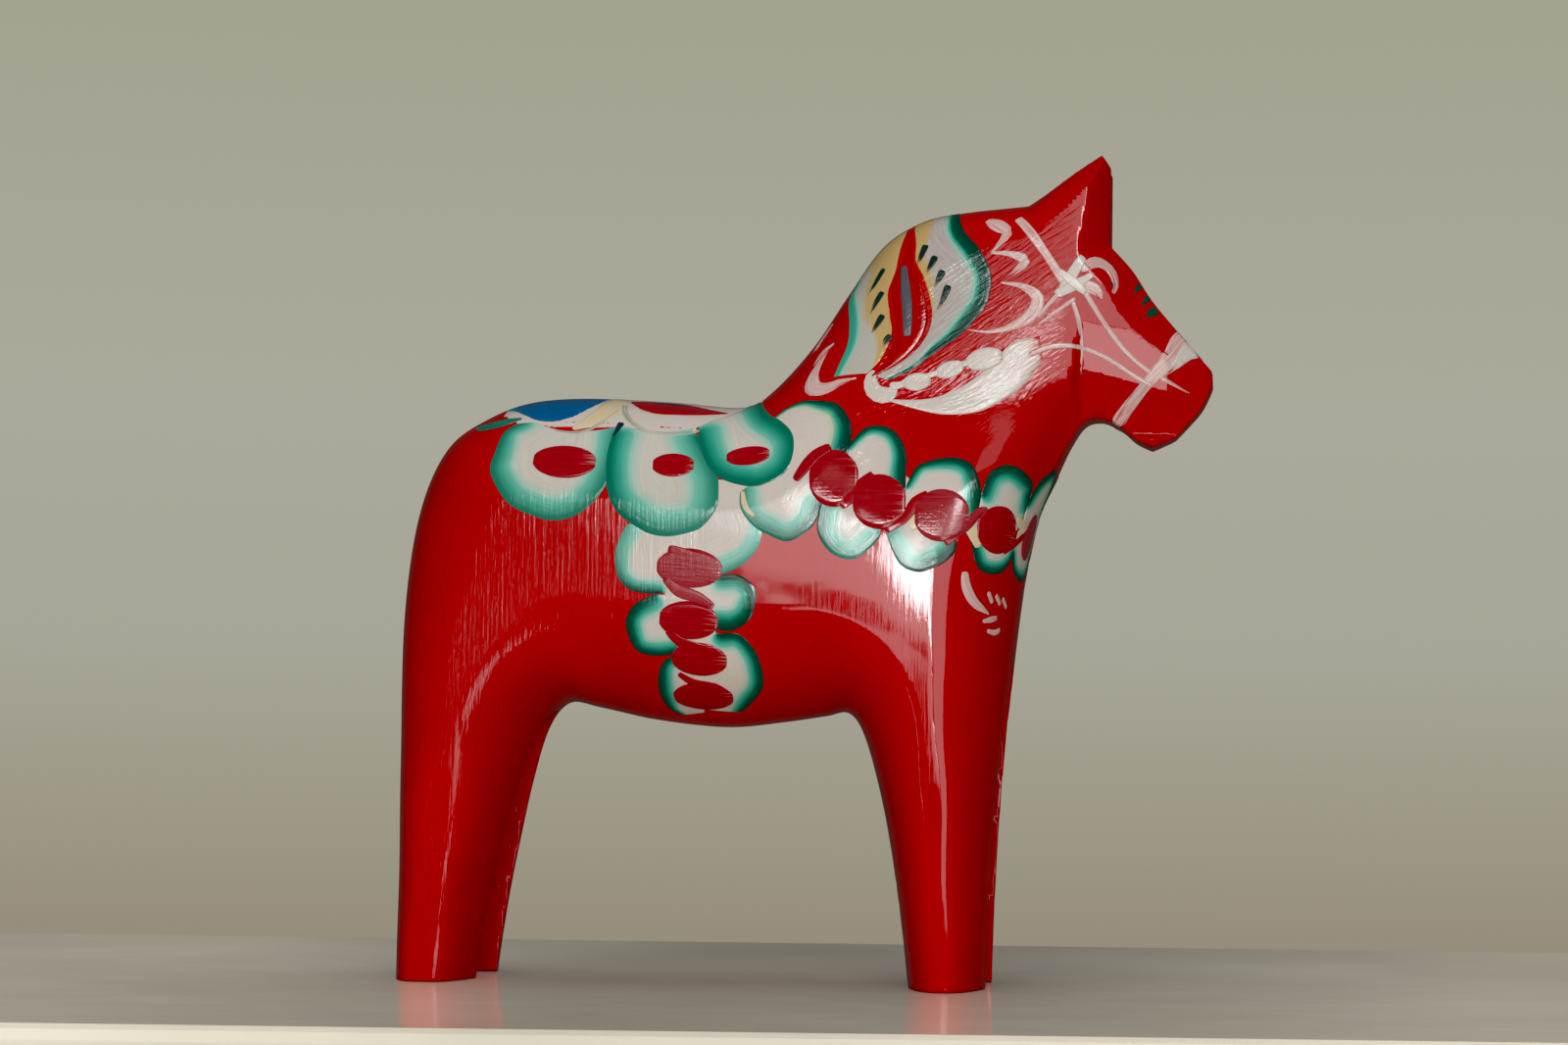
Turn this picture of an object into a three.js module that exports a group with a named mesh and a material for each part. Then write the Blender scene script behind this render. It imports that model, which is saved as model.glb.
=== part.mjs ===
// Dala horse: one block of pine, sawn to a side outline, whittled round, lacquered red and
// decorated with brush strokes.  Millimetres, +Z up, +X towards the nose, ground at z = 0,
// origin under the middle of the horse.  The carved block is one solid.  Each painted
// ornament is a thin leaf of its own that follows the carved surface, once on each flank.
import * as THREE from 'three';

// ---- driving dimensions ----------------------------------------------------------------
const HEIGHT = 130;            // ground to ear tips
const BACK_HEIGHT = 91.9;      // ground to the top of the back
const BELLY_HEIGHT = 39.8;     // ground to the lowest point of the belly
const NOSE_X = 64;             // half of the overall length
const BELOW_GROUND = -6;       // the legs are drawn longer than this and then sawn off flat
const LEG_SLOT_HALF = 7.2;     // half of the gap between the left and right feet
const FRONT_SLOT_TOP = 50;     // top of the gap between the front legs
const HIND_SLOT_TOP = 46.5;    // top of the gap between the hind legs
const BELLY_SLOT_TOP = 33;     // where the two gaps would meet, below the belly
const SLOT_POWER = 2.4;        // shape of the arch over the gap
const EAR_BLUNTING = 1.2;      // the ears are drawn this much taller and lose it to rounding
const EAR_REAR_X = 35;         // the notch between the ears starts here
const EAR_NOTCH_TOP = 122.4;   // height of the notch floor at its rear end
const EAR_NOTCH_FALL = 0.53;   // how steeply the notch floor falls towards the forehead
const EAR_NOTCH_OPENING = 0.9; // half width of the notch one millimetre above its floor
const LEAF_GAP = 0.4;          // clearance between the wood and a painted leaf
const LEAF_THICKNESS = 0.3;    // thickness of a painted leaf
const BODY_CELL = 3.8;         // facet size on the trunk and legs
const HEAD_CELL = 2.2;         // facet size on the neck and head
const EAR_CELL = 1.3;          // facet size on the ears
const MIDDLE_CELL = 2.1;       // facet size across the horse, near its middle
const SIDE_CELL = 3;           // facet size across the horse, near its flanks
const SOLE_SOFTNESS = 4;       // scale of the field under the soles
const CELL_MARGIN = 0.06;      // share of a cell that its vertex keeps from the cell's walls
const STATION_REACH = 9;       // how far a carving station's width is felt
const FACET_START_X = 36;      // forward of this the rounding turns into flat knife facets
const FACET_END_X = 44;        // and from here on the head is mostly facets
const FACET_SHARE = 0.85;      // how much of the head's shape the facets make up
const BEVEL_START = 0.55;      // half breadth left at the outline, as a share of the full one

// ---- side outline, clockwise from the hind heel; each stretch is smooth, its ends are corners
const RUMP_BACK_CREST = [
  [-63.2, 0], [-63.4, 20], [-64, 45], [-63.6, 62], [-61.4, 75], [-57.2, 84], [-51, 88.6],
  [-44, 91.2], [-35, BACK_HEIGHT], [-21, 91.3], [-10, 90.5], [-5.3, 93], [1, 100],
  [6.7, 108.6], [12, 116], [17.8, 119.8], [24, 121.3], [35, 122.4]];
const EAR = [[35, 122.4], [46.6, HEIGHT + EAR_BLUNTING], [48, 127.9], [48, 115.6]];
const FACE = [[48, 115.6], [51.5, 111.7], [54.6, 107], [59.1, 101.6], [63.9, 96]];
const NOSTRIL = [[63.9, 96], [NOSE_X, 93.6]];
const LIPS = [[NOSE_X, 93.6], [62.2, 90], [58.3, 85.6]];
const CHIN = [[58.3, 85.6], [54.6, 83.9]];
const JAW_THROAT_CHEST = [
  [54.6, 83.9], [52.1, 85.1], [49.8, 87], [46.8, 88.4], [44.1, 87.8], [42, 84.6], [39.9, 80],
  [37.2, 74.2], [35.7, 68.4], [34.4, 60], [33, 48], [31.6, 32], [30.6, 14], [30, BELOW_GROUND]];
const BELLY = [
  [17.4, BELOW_GROUND], [17.2, 0], [15.6, 13], [13.2, 27], [10.2, 38], [7.4, 42.2],
  [3.5, 41.7], [-3, 40.7], [-12, BELLY_HEIGHT], [-23, 40.8], [-32, 42.6], [-37.6, 43.4],
  [-41.3, 39.4], [-44.2, 30], [-46.4, 20], [-48.3, 10], [-49.8, 0], [-50, BELOW_GROUND]];
const SOLE = [[-50, BELOW_GROUND], [-63.2, BELOW_GROUND]];

// ---- carving stations: place on the side outline, half width there, and how far in from the
// outline the whittled rounding reaches
const STATIONS = [
  { x: -56, z: 0, half: 19.2, round: 5 },       // hind foot
  { x: -54, z: 22, half: 19.4, round: 7 },      // hind shank
  { x: -52, z: 44, half: 19.6, round: 11 },     // hind thigh
  { x: -51, z: 70, half: 19.4, round: 15 },     // rump
  { x: -36, z: 74, half: 19.9, round: 18 },     // loin
  { x: -12, z: 46, half: 20, round: 17 },       // belly
  { x: -12, z: 70, half: 20, round: 19 },       // barrel
  { x: 2, z: 74, half: 19.6, round: 18 },       // withers
  { x: 16, z: 64, half: 19.4, round: 14 },      // shoulder
  { x: 29, z: 70, half: 17, round: 11 },        // side of the chest
  { x: 27, z: 46, half: 19, round: 11 },        // breast
  { x: 23, z: 25, half: 19.4, round: 7.5 },     // front shank
  { x: 24, z: 0, half: 19.2, round: 6 },        // front foot
  { x: 14, z: 84, half: 17, round: 15 },        // neck root
  { x: 21, z: 96, half: 13.6, round: 12.5 },    // neck
  { x: 30, z: 97, half: 12.6, round: 9 },       // front of the neck
  { x: 25, z: 110, half: 12, round: 10.5 },     // crest
  { x: 34, z: 113, half: 10.6, round: 8.5 },    // poll
  { x: 45, z: 97, half: 9.4, round: 6 },        // cheek
  { x: 55, z: 93, half: 7.8, round: 5 },        // nose
  { x: 61, z: 90, half: 7, round: 4 },          // muzzle
  { x: 38, z: 118, half: 10.3, round: 3 },      // root of the ear
  { x: 47, z: 122, half: 8.7, round: 2 }];      // ear

// ---- the carved shape as a field that is negative inside the wood -----------------------
const SPLINE_STEPS = 8;

function stretchPoints(points) {
  const corners = points.map(([x, z]) => new THREE.Vector2(x, z));
  const curve = new THREE.SplineCurve(corners);
  return corners.length > 2 ? curve.getPoints((corners.length - 1) * SPLINE_STEPS) : corners;
}

const straightEar = [0, 1, 2].map((i) => [EAR[i], EAR[i + 1]]);
const outline = [RUMP_BACK_CREST, ...straightEar, FACE, NOSTRIL, LIPS, CHIN,
  JAW_THROAT_CHEST, BELLY, SOLE].flatMap((stretch) => stretchPoints(stretch).slice(0, -1));
outline.push(new THREE.Vector2(...SOLE[1]));

// distance from a point to the side outline, positive inside it
function depthInOutline(x, z) {
  let nearest = Infinity;
  let inside = false;
  outline.forEach((a, i) => {
    const b = outline[(i + 1) % outline.length];
    const ex = b.x - a.x;
    const ez = b.y - a.y;
    const along = ((x - a.x) * ex + (z - a.y) * ez) / (ex * ex + ez * ez || 1);
    const t = Math.min(1, Math.max(0, along));
    nearest = Math.min(nearest, Math.hypot(x - a.x - t * ex, z - a.y - t * ez));
    if ((a.y > z) !== (b.y > z) && x < a.x + ((z - a.y) / ez) * ex) inside = !inside;
  });
  return inside ? nearest : -nearest;
}

function smoothStep(from, to, value) {
  const t = Math.min(1, Math.max(0, (value - from) / (to - from)));
  return t * t * (3 - 2 * t);
}

// knife cuts on each side of the head: half breadth left by the flat cut along the cheek,
// and by the one that slants from the ear down to the brow
function cheekHalf(x, z) {
  const flat = 9.4 + 0.225 * (z - 100.5) - 0.12 * (x - 43);
  const temple = 1.5 * Math.max(0, 43.5 - x);
  const muzzle = 0.15 * Math.max(0, x - 57);
  const jaw = 0.18 * Math.max(0, 96 - 0.25 * (x - 43) - z);
  return flat + temple - muzzle - jaw + 3 * Math.max(0, 86 - z);
}

function browHalf(x, z) {
  const brow = 53.4 - x + 1.7 * Math.max(0, 115.5 - z);
  return brow + Math.min(3.6, 0.8 * Math.max(0, z - 115.5));
}

// everything about the carving that depends only on the side view
function section(x, z) {
  let weight = 0;
  let half = 0;
  let round = 0;
  for (const s of STATIONS) {
    const reach = ((x - s.x) ** 2 + (z - s.z) ** 2) / (2 * STATION_REACH ** 2);
    const w = Math.exp(-reach) + 1e-12;
    weight += w;
    half += w * s.half;
    round += w * s.round;
  }
  const frontRise = (FRONT_SLOT_TOP - BELLY_SLOT_TOP) * smoothStep(4, 20, x);
  const hindRise = (HIND_SLOT_TOP - BELLY_SLOT_TOP) * (1 - smoothStep(-46, -30, x));
  const overNotch = z - EAR_NOTCH_TOP + EAR_NOTCH_FALL * (x - EAR_REAR_X);
  return {
    depth: depthInOutline(x, z),
    half: half / weight,
    round: round / weight,
    facets: FACET_SHARE * smoothStep(FACET_START_X, FACET_END_X, x),
    cheek: cheekHalf(x, z),
    brow: browHalf(x, z),
    slotTop: BELLY_SLOT_TOP + frontRise + hindRise,
    notch: overNotch > 0 ? EAR_NOTCH_OPENING * Math.sqrt(overNotch) : overNotch,
  };
}

function carving(s, y, z) {
  const side = Math.abs(y);
  const inward = s.depth / s.round;
  const rounded = (y / s.half) ** 2 + (1 - Math.min(inward, 1)) ** 2 - 1;
  const bevel = side / s.half - BEVEL_START - (1 - BEVEL_START) * inward;
  const faceted = 2 * Math.max(side / s.half - 1, bevel, -inward);
  const block = rounded + (faceted - rounded) * s.facets;
  const cheek = (2 * (side - s.cheek)) / s.half;
  const brow = (1.4 * (side - s.brow)) / s.half;
  const rise = Math.max(z, 0) / s.slotTop;
  const legSlot = 1 - (y / LEG_SLOT_HALF) ** 2 - rise ** SLOT_POWER;
  const earNotch = Math.min((s.notch - side) / 4, 1);
  return Math.max(block, cheek, brow, legSlot, earNotch, -z / SOLE_SOFTNESS);
}

function field(p) {
  return carving(section(p.x, p.z), p.y, p.z);
}

function fieldSlope(p) {
  const h = 0.02;
  const here = section(p.x, p.z);
  const value = carving(here, p.y, p.z);
  const slope = new THREE.Vector3(
    (field(new THREE.Vector3(p.x + h, p.y, p.z)) - value) / h,
    (carving(here, p.y + h, p.z) - value) / h,
    (field(new THREE.Vector3(p.x, p.y, p.z + h)) - value) / h);
  return { value, slope };
}

// moves a point along the slope until it lies on the carved surface
function settle(point, rounds = 6, reach = 0.8) {
  const p = point.clone();
  for (let i = 0; i < rounds; i += 1) {
    const { value, slope } = fieldSlope(p);
    const step = slope.multiplyScalar(value / Math.max(slope.lengthSq(), 1e-9));
    p.sub(step.clampLength(0, reach));
  }
  return p;
}

function surfaceNormal(p) {
  return fieldSlope(p).slope.normalize();
}

// ---- facets: one vertex in each grid cell that the surface crosses ---------------------
function gridLines(from, to, cellAt) {
  const lines = [from];
  while (lines.at(-1) < to) lines.push(lines.at(-1) + cellAt(lines.at(-1)));
  return lines;
}

function facetedSkin(xs, ys, zs) {
  const size = [xs.length, ys.length, zs.length];
  const index = (c) => (c[0] * size[1] + c[1]) * size[2] + c[2];
  const corner = (c) => new THREE.Vector3(xs[c[0]], ys[c[1]], zs[c[2]]);
  const value = new Float64Array(size[0] * size[1] * size[2]);
  for (let i = 0; i < size[0]; i += 1) {
    for (let k = 0; k < size[2]; k += 1) {
      const here = section(xs[i], zs[k]);
      ys.forEach((y, j) => { value[index([i, j, k])] = carving(here, y, zs[k]); });
    }
  }
  const axes = [0, 1, 2];
  const bits = [0, 1, 2, 3, 4, 5, 6, 7].map((n) => [n & 1, (n >> 1) & 1, (n >> 2) & 1]);
  const shift = (c, d) => c.map((v, axis) => v + d[axis]);
  const vertexOfCell = new Map();
  const vertices = [];
  const faces = [];
  const cellVertex = (c) => {
    const key = index(c);
    if (vertexOfCell.has(key)) return vertexOfCell.get(key);
    const centre = new THREE.Vector3();
    let crossings = 0;
    for (const from of bits) {
      for (const axis of axes.filter((a) => from[a] === 0)) {
        const to = from.map((v, a) => (a === axis ? 1 : v));
        const a = value[index(shift(c, from))];
        const b = value[index(shift(c, to))];
        if ((a < 0) !== (b < 0)) {
          centre.add(corner(shift(c, from)).lerp(corner(shift(c, to)), a / (a - b)));
          crossings += 1;
        }
      }
    }
    const low = corner(c);
    const high = corner(shift(c, [1, 1, 1]));
    const margin = high.clone().sub(low).multiplyScalar(CELL_MARGIN);
    low.add(margin);
    high.sub(margin);
    const vertex = settle(centre.divideScalar(crossings), 3).clamp(low, high);
    vertexOfCell.set(key, vertices.length);
    vertices.push(vertex);
    return vertices.length - 1;
  };
  for (let i = 1; i < size[0] - 1; i += 1) {
    for (let j = 1; j < size[1] - 1; j += 1) {
      for (let k = 1; k < size[2] - 1; k += 1) {
        for (const axis of axes) {
          const here = [i, j, k];
          const next = here.map((v, a) => (a === axis ? v + 1 : v));
          const inside = value[index(here)] < 0;
          if (inside === (value[index(next)] < 0)) continue;
          const second = (axis + 1) % 3;
          const third = (axis + 2) % 3;
          const around = [[-1, -1], [0, -1], [0, 0], [-1, 0]].map(([b, c]) => {
            const cell = [...here];
            cell[second] += b;
            cell[third] += c;
            return cellVertex(cell);
          });
          const [p, q, r, s] = inside ? around : around.reverse();
          const even = vertices[p].distanceTo(vertices[r]) < vertices[q].distanceTo(vertices[s]);
          faces.push(...(even ? [p, q, r, p, r, s] : [q, r, s, q, s, p]));
        }
      }
    }
  }
  return { vertices, faces };
}

function geometryOf(vertices, faces) {
  const geometry = new THREE.BufferGeometry();
  const numbers = vertices.flatMap((v) => [v.x, v.y, v.z]);
  geometry.setAttribute('position', new THREE.Float32BufferAttribute(numbers, 3));
  geometry.setIndex(faces);
  return geometry;
}

function carvedBody() {
  const alongX = (x) => (x > 34 ? HEAD_CELL : BODY_CELL);
  const alongZ = (z) => (z > 119 ? EAR_CELL : (z > 84 ? HEAD_CELL : BODY_CELL));
  const alongY = (y) => (y < 9 ? MIDDLE_CELL : SIDE_CELL);
  const xs = gridLines(-NOSE_X - 2 * BODY_CELL, NOSE_X + 3 * HEAD_CELL, alongX);
  const zs = gridLines(-2.5 * BODY_CELL, HEIGHT + 3 * EAR_CELL, alongZ);
  const halfYs = gridLines(MIDDLE_CELL / 3, 22, alongY);
  const ys = [...halfYs.map((y) => -y).reverse(), ...halfYs];
  const { vertices, faces } = facetedSkin(xs, ys, zs);
  for (const v of vertices.filter((p) => p.z < BODY_CELL / 2)) v.z = 0;
  return geometryOf(vertices, faces);
}

// ---- painted leaves ---------------------------------------------------------------------
const OUTER_STEPS = 12;

// a point on the near flank, from its place in the side view; side is -1 right, +1 left
function onFlank([x, z], side) {
  const s = section(x, z);
  const inward = Math.min(Math.max(s.depth / s.round, 0), 1);
  return settle(new THREE.Vector3(x, side * s.half * Math.sqrt(1 - (1 - inward) ** 2), z));
}

// a point on the back or crest, from its place in the top view
function onBack([x, y], side) {
  let low = 70;
  let high = HEIGHT;
  for (let i = 0; i < OUTER_STEPS; i += 1) {
    const middle = (low + high) / 2;
    if (field(new THREE.Vector3(x, side * y, middle)) < 0) low = middle;
    else high = middle;
  }
  return settle(new THREE.Vector3(x, side * y, low));
}

// closed thin solid over the surface: path is its spine, widths its breadth along the spine
function leaf(path, widths, side, place = onFlank) {
  const across = 3;
  const spine = new THREE.CatmullRomCurve3(path.map((p) => place(p, side)));
  const breadth = new THREE.SplineCurve(widths.map((w, i) => new THREE.Vector2(i, w)));
  const stations = Math.max(5, Math.min(12, Math.ceil(spine.getLength() / 3.2)));
  const rows = [];
  for (let i = 0; i <= stations; i += 1) {
    const t = i / stations;
    const centre = settle(spine.getPoint(t));
    const forward = spine.getTangent(t);
    const sideways = new THREE.Vector3().crossVectors(surfaceNormal(centre), forward).normalize();
    const half = Math.max(breadth.getPoint(t).y, 0.7) / 2;
    const row = [];
    for (let j = 0; j < across; j += 1) {
      const offset = half * ((2 * j) / (across - 1) - 1);
      row.push(settle(centre.clone().addScaledVector(sideways, offset)));
    }
    rows.push(row);
  }
  const raised = (p, height) => p.clone().addScaledVector(surfaceNormal(p), height);
  const lifted = (height) => rows.flat().map((p) => raised(p, height));
  const vertices = [...lifted(LEAF_GAP), ...lifted(LEAF_GAP + LEAF_THICKNESS)];
  const top = rows.length * across;
  const faces = [];
  const quad = (a, b, c, d) => faces.push(a, b, c, a, c, d);
  const at = (i, j) => i * across + j;
  for (let i = 0; i < stations; i += 1) {
    for (let j = 0; j < across - 1; j += 1) {
      quad(top + at(i, j), top + at(i + 1, j), top + at(i + 1, j + 1), top + at(i, j + 1));
      quad(at(i, j + 1), at(i + 1, j + 1), at(i + 1, j), at(i, j));
    }
    quad(at(i, 0), at(i + 1, 0), top + at(i + 1, 0), top + at(i, 0));
    const [near, far] = [at(i, across - 1), at(i + 1, across - 1)];
    quad(far, near, top + near, top + far);
  }
  for (let j = 0; j < across - 1; j += 1) {
    quad(at(0, j + 1), at(0, j), top + at(0, j), top + at(0, j + 1));
    quad(at(stations, j), at(stations, j + 1), top + at(stations, j + 1), top + at(stations, j));
  }
  return geometryOf(vertices, faces);
}

// ---- colours ----------------------------------------------------------------------------
const COLOUR = {
  red: 0xb3080c, deepRed: 0x8e1a1e, green: 0x0f5b41, teal: 0x4f9c86, white: 0xd9d3c6,
  cream: 0xcdb47c, blue: 0x1c4f8f,
};

function painted(name, geometry, colour) {
  const material = new THREE.MeshStandardMaterial({ color: colour, roughness: 0.25, metalness: 0 });
  const mesh = new THREE.Mesh(geometry, material);
  mesh.name = name;
  return mesh;
}

// ---- ornaments: name, colour, spine in the side view (x, z) and breadth along it ---------
const FLANK_ORNAMENTS = [
  ['saddle_petal_rear', 'white', [[-35.5, 84.5], [-37.8, 79.5], [-38.8, 73]], [8, 15, 14.5, 6]],
  ['saddle_petal_middle', 'white', [[-21.5, 84.8], [-19.8, 77.5], [-19.8, 69.5]], [9, 15, 14.5, 6]],
  ['saddle_petal_front', 'white', [[-8.6, 86], [-5.6, 82], [-4.4, 77.6]], [7, 9.6, 10, 5]],
  ['collar_upper_scallops', 'teal', [[1.6, 86.4], [8, 83.4], [14, 81.2], [24, 78.4], [33, 77.6]],
    [6, 4, 5.5, 4, 5.5, 4, 5]],
  ['collar_red_rope', 'deepRed', [[3.4, 79.2], [13.4, 74.9], [23.3, 72.3], [33, 70.6]],
    [4, 5, 3.6, 5, 3.6, 5, 3.6]],
  ['collar_lower_scallops', 'teal', [[-2.4, 72.6], [9, 69.6], [19.6, 67], [31.6, 65.6]],
    [6, 4.4, 6, 4.4, 5.6, 4]],
  ['girth_rear_scallops', 'teal', [[-23.4, 64.8], [-21.8, 56], [-18.8, 47.6]], [5, 4, 5, 4, 4.4]],
  ['girth_front_scallops', 'teal', [[-6, 66], [-7.8, 58], [-8.2, 47.6]], [5, 4, 5, 4, 4.6]],
  ['girth_red_rope', 'deepRed', [[-15, 65.8], [-15.2, 56], [-14.2, 49], [-14.2, 44.6]],
    [4.8, 3.8, 4.8, 3.8, 4.8]],
  ['mane_green_band', 'green', [[25.6, 119], [28.8, 114], [29.6, 108.6], [27.2, 102.6], [21.8, 97.6]],
    [2, 3, 3, 2.6, 1.4]],
  ['mane_white_band', 'white', [[21.4, 118.4], [24.6, 113.4], [25, 108], [22.6, 102.4], [17.6, 97.2]],
    [1.6, 3.4, 3.4, 3, 1.4]],
  ['mane_red_flame', 'red', [[15.6, 115.8], [15.8, 109], [17.6, 104.6], [16.4, 99.4], [12.2, 94.4]],
    [1.2, 3.4, 4.2, 3, 1]],
  ['mane_cream_band', 'cream', [[11.4, 112.8], [10.6, 107], [11.2, 101], [8.4, 94.8]],
    [1.6, 3, 3, 1.4]],
  ['mane_teal_band', 'teal', [[8, 107], [6.6, 103], [6.8, 98.6], [4.6, 94.4]], [1.2, 2, 2, 1]],
  ['mane_hook', 'white', [[3.4, 99.6], [1.4, 96.4], [1.6, 93.6]], [1, 1.6, 1.2]],
  ['neck_white_beads', 'white', [[13.6, 91.6], [18.6, 93.2], [23.4, 94.8], [28.4, 97.4]],
    [2, 1.6, 2, 1.6, 1]],
  ['neck_white_feather', 'white', [[16, 88.6], [22.5, 88.8], [29.6, 91.4], [34.6, 97]],
    [1, 3.6, 4, 1.6]],
  ['forelock_curls', 'white', [[32.2, 118.4], [33, 115], [35.2, 112.4]], [1.4, 2, 1.2]],
  ['temple_curl', 'white', [[33, 107.6], [35.4, 109], [37.6, 107]], [1, 1.6, 1]],
  ['bridle_brow_line', 'white', [[37, 114.8], [39.4, 112.6], [42, 110.8]], [1, 1.4, 1.4]],
  ['bridle_nose_line', 'white', [[43.6, 109], [48.4, 102.4], [55, 95.8]], [1.4, 1, 1]],
  ['bridle_cheek_line', 'white', [[37.4, 102.6], [42.2, 102.8], [47.2, 99.6], [51.6, 96.6]],
    [0.9, 1.2, 1.2, 0.9]],
  ['noseband', 'white', [[58.8, 97.6], [55.6, 93.6], [52, 89.2]], [2.4, 2, 1.8]],
  ['forehead_dashes', 'green', [[51, 109.6], [53, 106.6], [54.8, 103.6]], [1, 1.4, 1]],
  ['chest_sprig', 'white', [[27, 62.4], [28, 59.4], [30, 56]], [1, 1.8, 1]],
];
const BACK_ORNAMENTS = [
  ['saddle_blue_leaf', 'blue', [[-44, 10.6], [-37.5, 9.4], [-31, 6.6]], [1.6, 5.4, 1.6]],
  ['saddle_red_leaf', 'deepRed', [[-27, 8.6], [-19.6, 8.6], [-12.4, 6.4]], [1.6, 4.6, 1.6]],
  ['saddle_green_leaf', 'green', [[-50.4, 10.4], [-48.4, 11.2], [-46.4, 12]], [1, 2.2, 1]],
];
const SIDES = [['right', -1], ['left', 1]];

const horse = new THREE.Group();
horse.add(painted('carved_body', carvedBody(), COLOUR.red));
for (const [sideName, side] of SIDES) {
  for (const [name, colour, path, widths] of FLANK_ORNAMENTS) {
    horse.add(painted(`${name}_${sideName}`, leaf(path, widths, side), COLOUR[colour]));
  }
  for (const [name, colour, path, widths] of BACK_ORNAMENTS) {
    horse.add(painted(`${name}_${sideName}`, leaf(path, widths, side, onBack), COLOUR[colour]));
  }
}
const creamPath = [[-42, 0], [-26, 0], [-10, 0]];
horse.add(painted('saddle_cream_ground', leaf(creamPath, [3, 8, 8, 3], 1, onBack), COLOUR.cream));

export default horse;
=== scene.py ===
import math

import bpy
import numpy as np
from mathutils import Matrix, Vector


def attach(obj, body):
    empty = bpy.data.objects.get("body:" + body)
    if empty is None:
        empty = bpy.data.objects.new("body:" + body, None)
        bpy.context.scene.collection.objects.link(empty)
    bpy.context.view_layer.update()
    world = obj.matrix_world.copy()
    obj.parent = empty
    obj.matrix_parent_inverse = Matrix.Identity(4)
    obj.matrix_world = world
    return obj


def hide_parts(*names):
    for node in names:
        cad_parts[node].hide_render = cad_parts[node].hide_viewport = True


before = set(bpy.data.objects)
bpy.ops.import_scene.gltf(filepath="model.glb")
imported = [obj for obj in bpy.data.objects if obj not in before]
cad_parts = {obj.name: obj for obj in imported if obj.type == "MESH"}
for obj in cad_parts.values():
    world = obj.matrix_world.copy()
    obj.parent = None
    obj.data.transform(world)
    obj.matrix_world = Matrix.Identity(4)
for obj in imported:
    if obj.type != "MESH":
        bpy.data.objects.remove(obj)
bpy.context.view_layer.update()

MM = 0.001

# ---- driving dimensions of the carving, millimetres, the same as the CAD part's ---------
HEIGHT = 130.0
NOSE_X = 64.0
BELOW_GROUND = -6.0
LEG_SLOT_HALF = 7.2
FRONT_SLOT_TOP = 50.0
HIND_SLOT_TOP = 46.5
BELLY_SLOT_TOP = 33.0
SLOT_POWER = 2.4
EAR_REAR_X = 35.0
EAR_NOTCH_TOP = 122.4
EAR_NOTCH_FALL = 0.53
EAR_NOTCH_OPENING = 0.9
STATION_REACH = 9.0
SKIN_CELL = 0.66          # facet size of the carved surface
FLANK_CELLS = 34          # that many facets reach from the middle past the widest flank
SPLINE_STEPS = 8

# side outline, clockwise from the hind heel: smooth stretches that meet at corners
STRETCHES = [
    [(-63.2, 0), (-63.4, 20), (-64, 45), (-63.6, 62), (-61.4, 75), (-57.2, 84), (-51, 88.6),
     (-44, 91.2), (-35, 91.9), (-21, 91.3), (-10, 90.5), (-5.3, 93), (1, 100), (6.7, 108.6),
     (12, 116), (17.8, 119.8), (24, 121.3), (35, 122.4)],
    [(35, 122.4), (46.6, HEIGHT)],
    [(46.6, HEIGHT), (48, 127.9)],
    [(48, 127.9), (48, 115.6)],
    [(48, 115.6), (51.5, 111.7), (54.6, 107), (59.1, 101.6), (63.9, 96)],
    [(63.9, 96), (NOSE_X, 93.6)],
    [(NOSE_X, 93.6), (62.2, 90), (58.3, 85.6)],
    [(58.3, 85.6), (54.6, 83.9)],
    [(54.6, 83.9), (52.1, 85.1), (49.8, 87), (46.8, 88.4), (44.1, 87.8), (42, 84.6),
     (39.9, 80), (37.2, 74.2), (35.7, 68.4), (34.4, 60), (33, 48), (31.6, 32), (30.6, 14),
     (30, BELOW_GROUND)],
    [(30, BELOW_GROUND), (17.4, BELOW_GROUND)],
    [(17.4, BELOW_GROUND), (17.2, 0), (15.6, 13), (13.2, 27), (10.2, 38), (7.4, 42.2),
     (3.5, 41.7), (-3, 40.7), (-12, 39.8), (-23, 40.8), (-32, 42.6), (-37.6, 43.4),
     (-41.3, 39.4), (-44.2, 30), (-46.4, 20), (-48.3, 10), (-49.8, 0), (-50, BELOW_GROUND)],
    [(-50, BELOW_GROUND), (-63.2, BELOW_GROUND)],
    [(-63.2, BELOW_GROUND), (-63.2, 0)],
]

# carving stations: x, z, half width there, how far in from the outline the rounding reaches
STATIONS = [
    (-56, 0, 19.2, 5), (-54, 22, 19.4, 7), (-52, 44, 19.6, 11), (-51, 70, 19.4, 15),
    (-36, 74, 19.9, 18), (-12, 46, 20, 17), (-12, 70, 20, 19), (2, 74, 19.6, 18),
    (16, 64, 19.4, 14), (29, 70, 17, 11), (27, 46, 19, 11), (23, 25, 19.4, 7.5),
    (24, 0, 19.2, 6), (14, 84, 17, 15), (21, 96, 13.6, 12.5), (30, 97, 12.6, 9),
    (25, 110, 12, 10.5), (34, 113, 10.6, 8.5), (45, 97, 9.4, 6), (55, 93, 7.8, 5),
    (61, 90, 7, 4), (38, 118, 10.3, 3), (47, 122, 8.7, 2),
]


# ---- the carved shape as a field, negative inside the wood -------------------------------
def catmull_rom(points, steps):
    """Points along a smooth curve through the given ones, ends included."""
    p = np.asarray(points, float)
    out = []
    for i in range(len(p) - 1):
        before, a, b, after = p[max(i - 1, 0)], p[i], p[i + 1], p[min(i + 2, len(p) - 1)]
        v0 = (b - before) / 2
        v1 = (after - a) / 2
        for t in np.arange(steps) / steps:
            out.append((2 * a - 2 * b + v0 + v1) * t ** 3
                       + (-3 * a + 3 * b - 2 * v0 - v1) * t * t + v0 * t + a)
    out.append(p[-1])
    return np.array(out)


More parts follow.
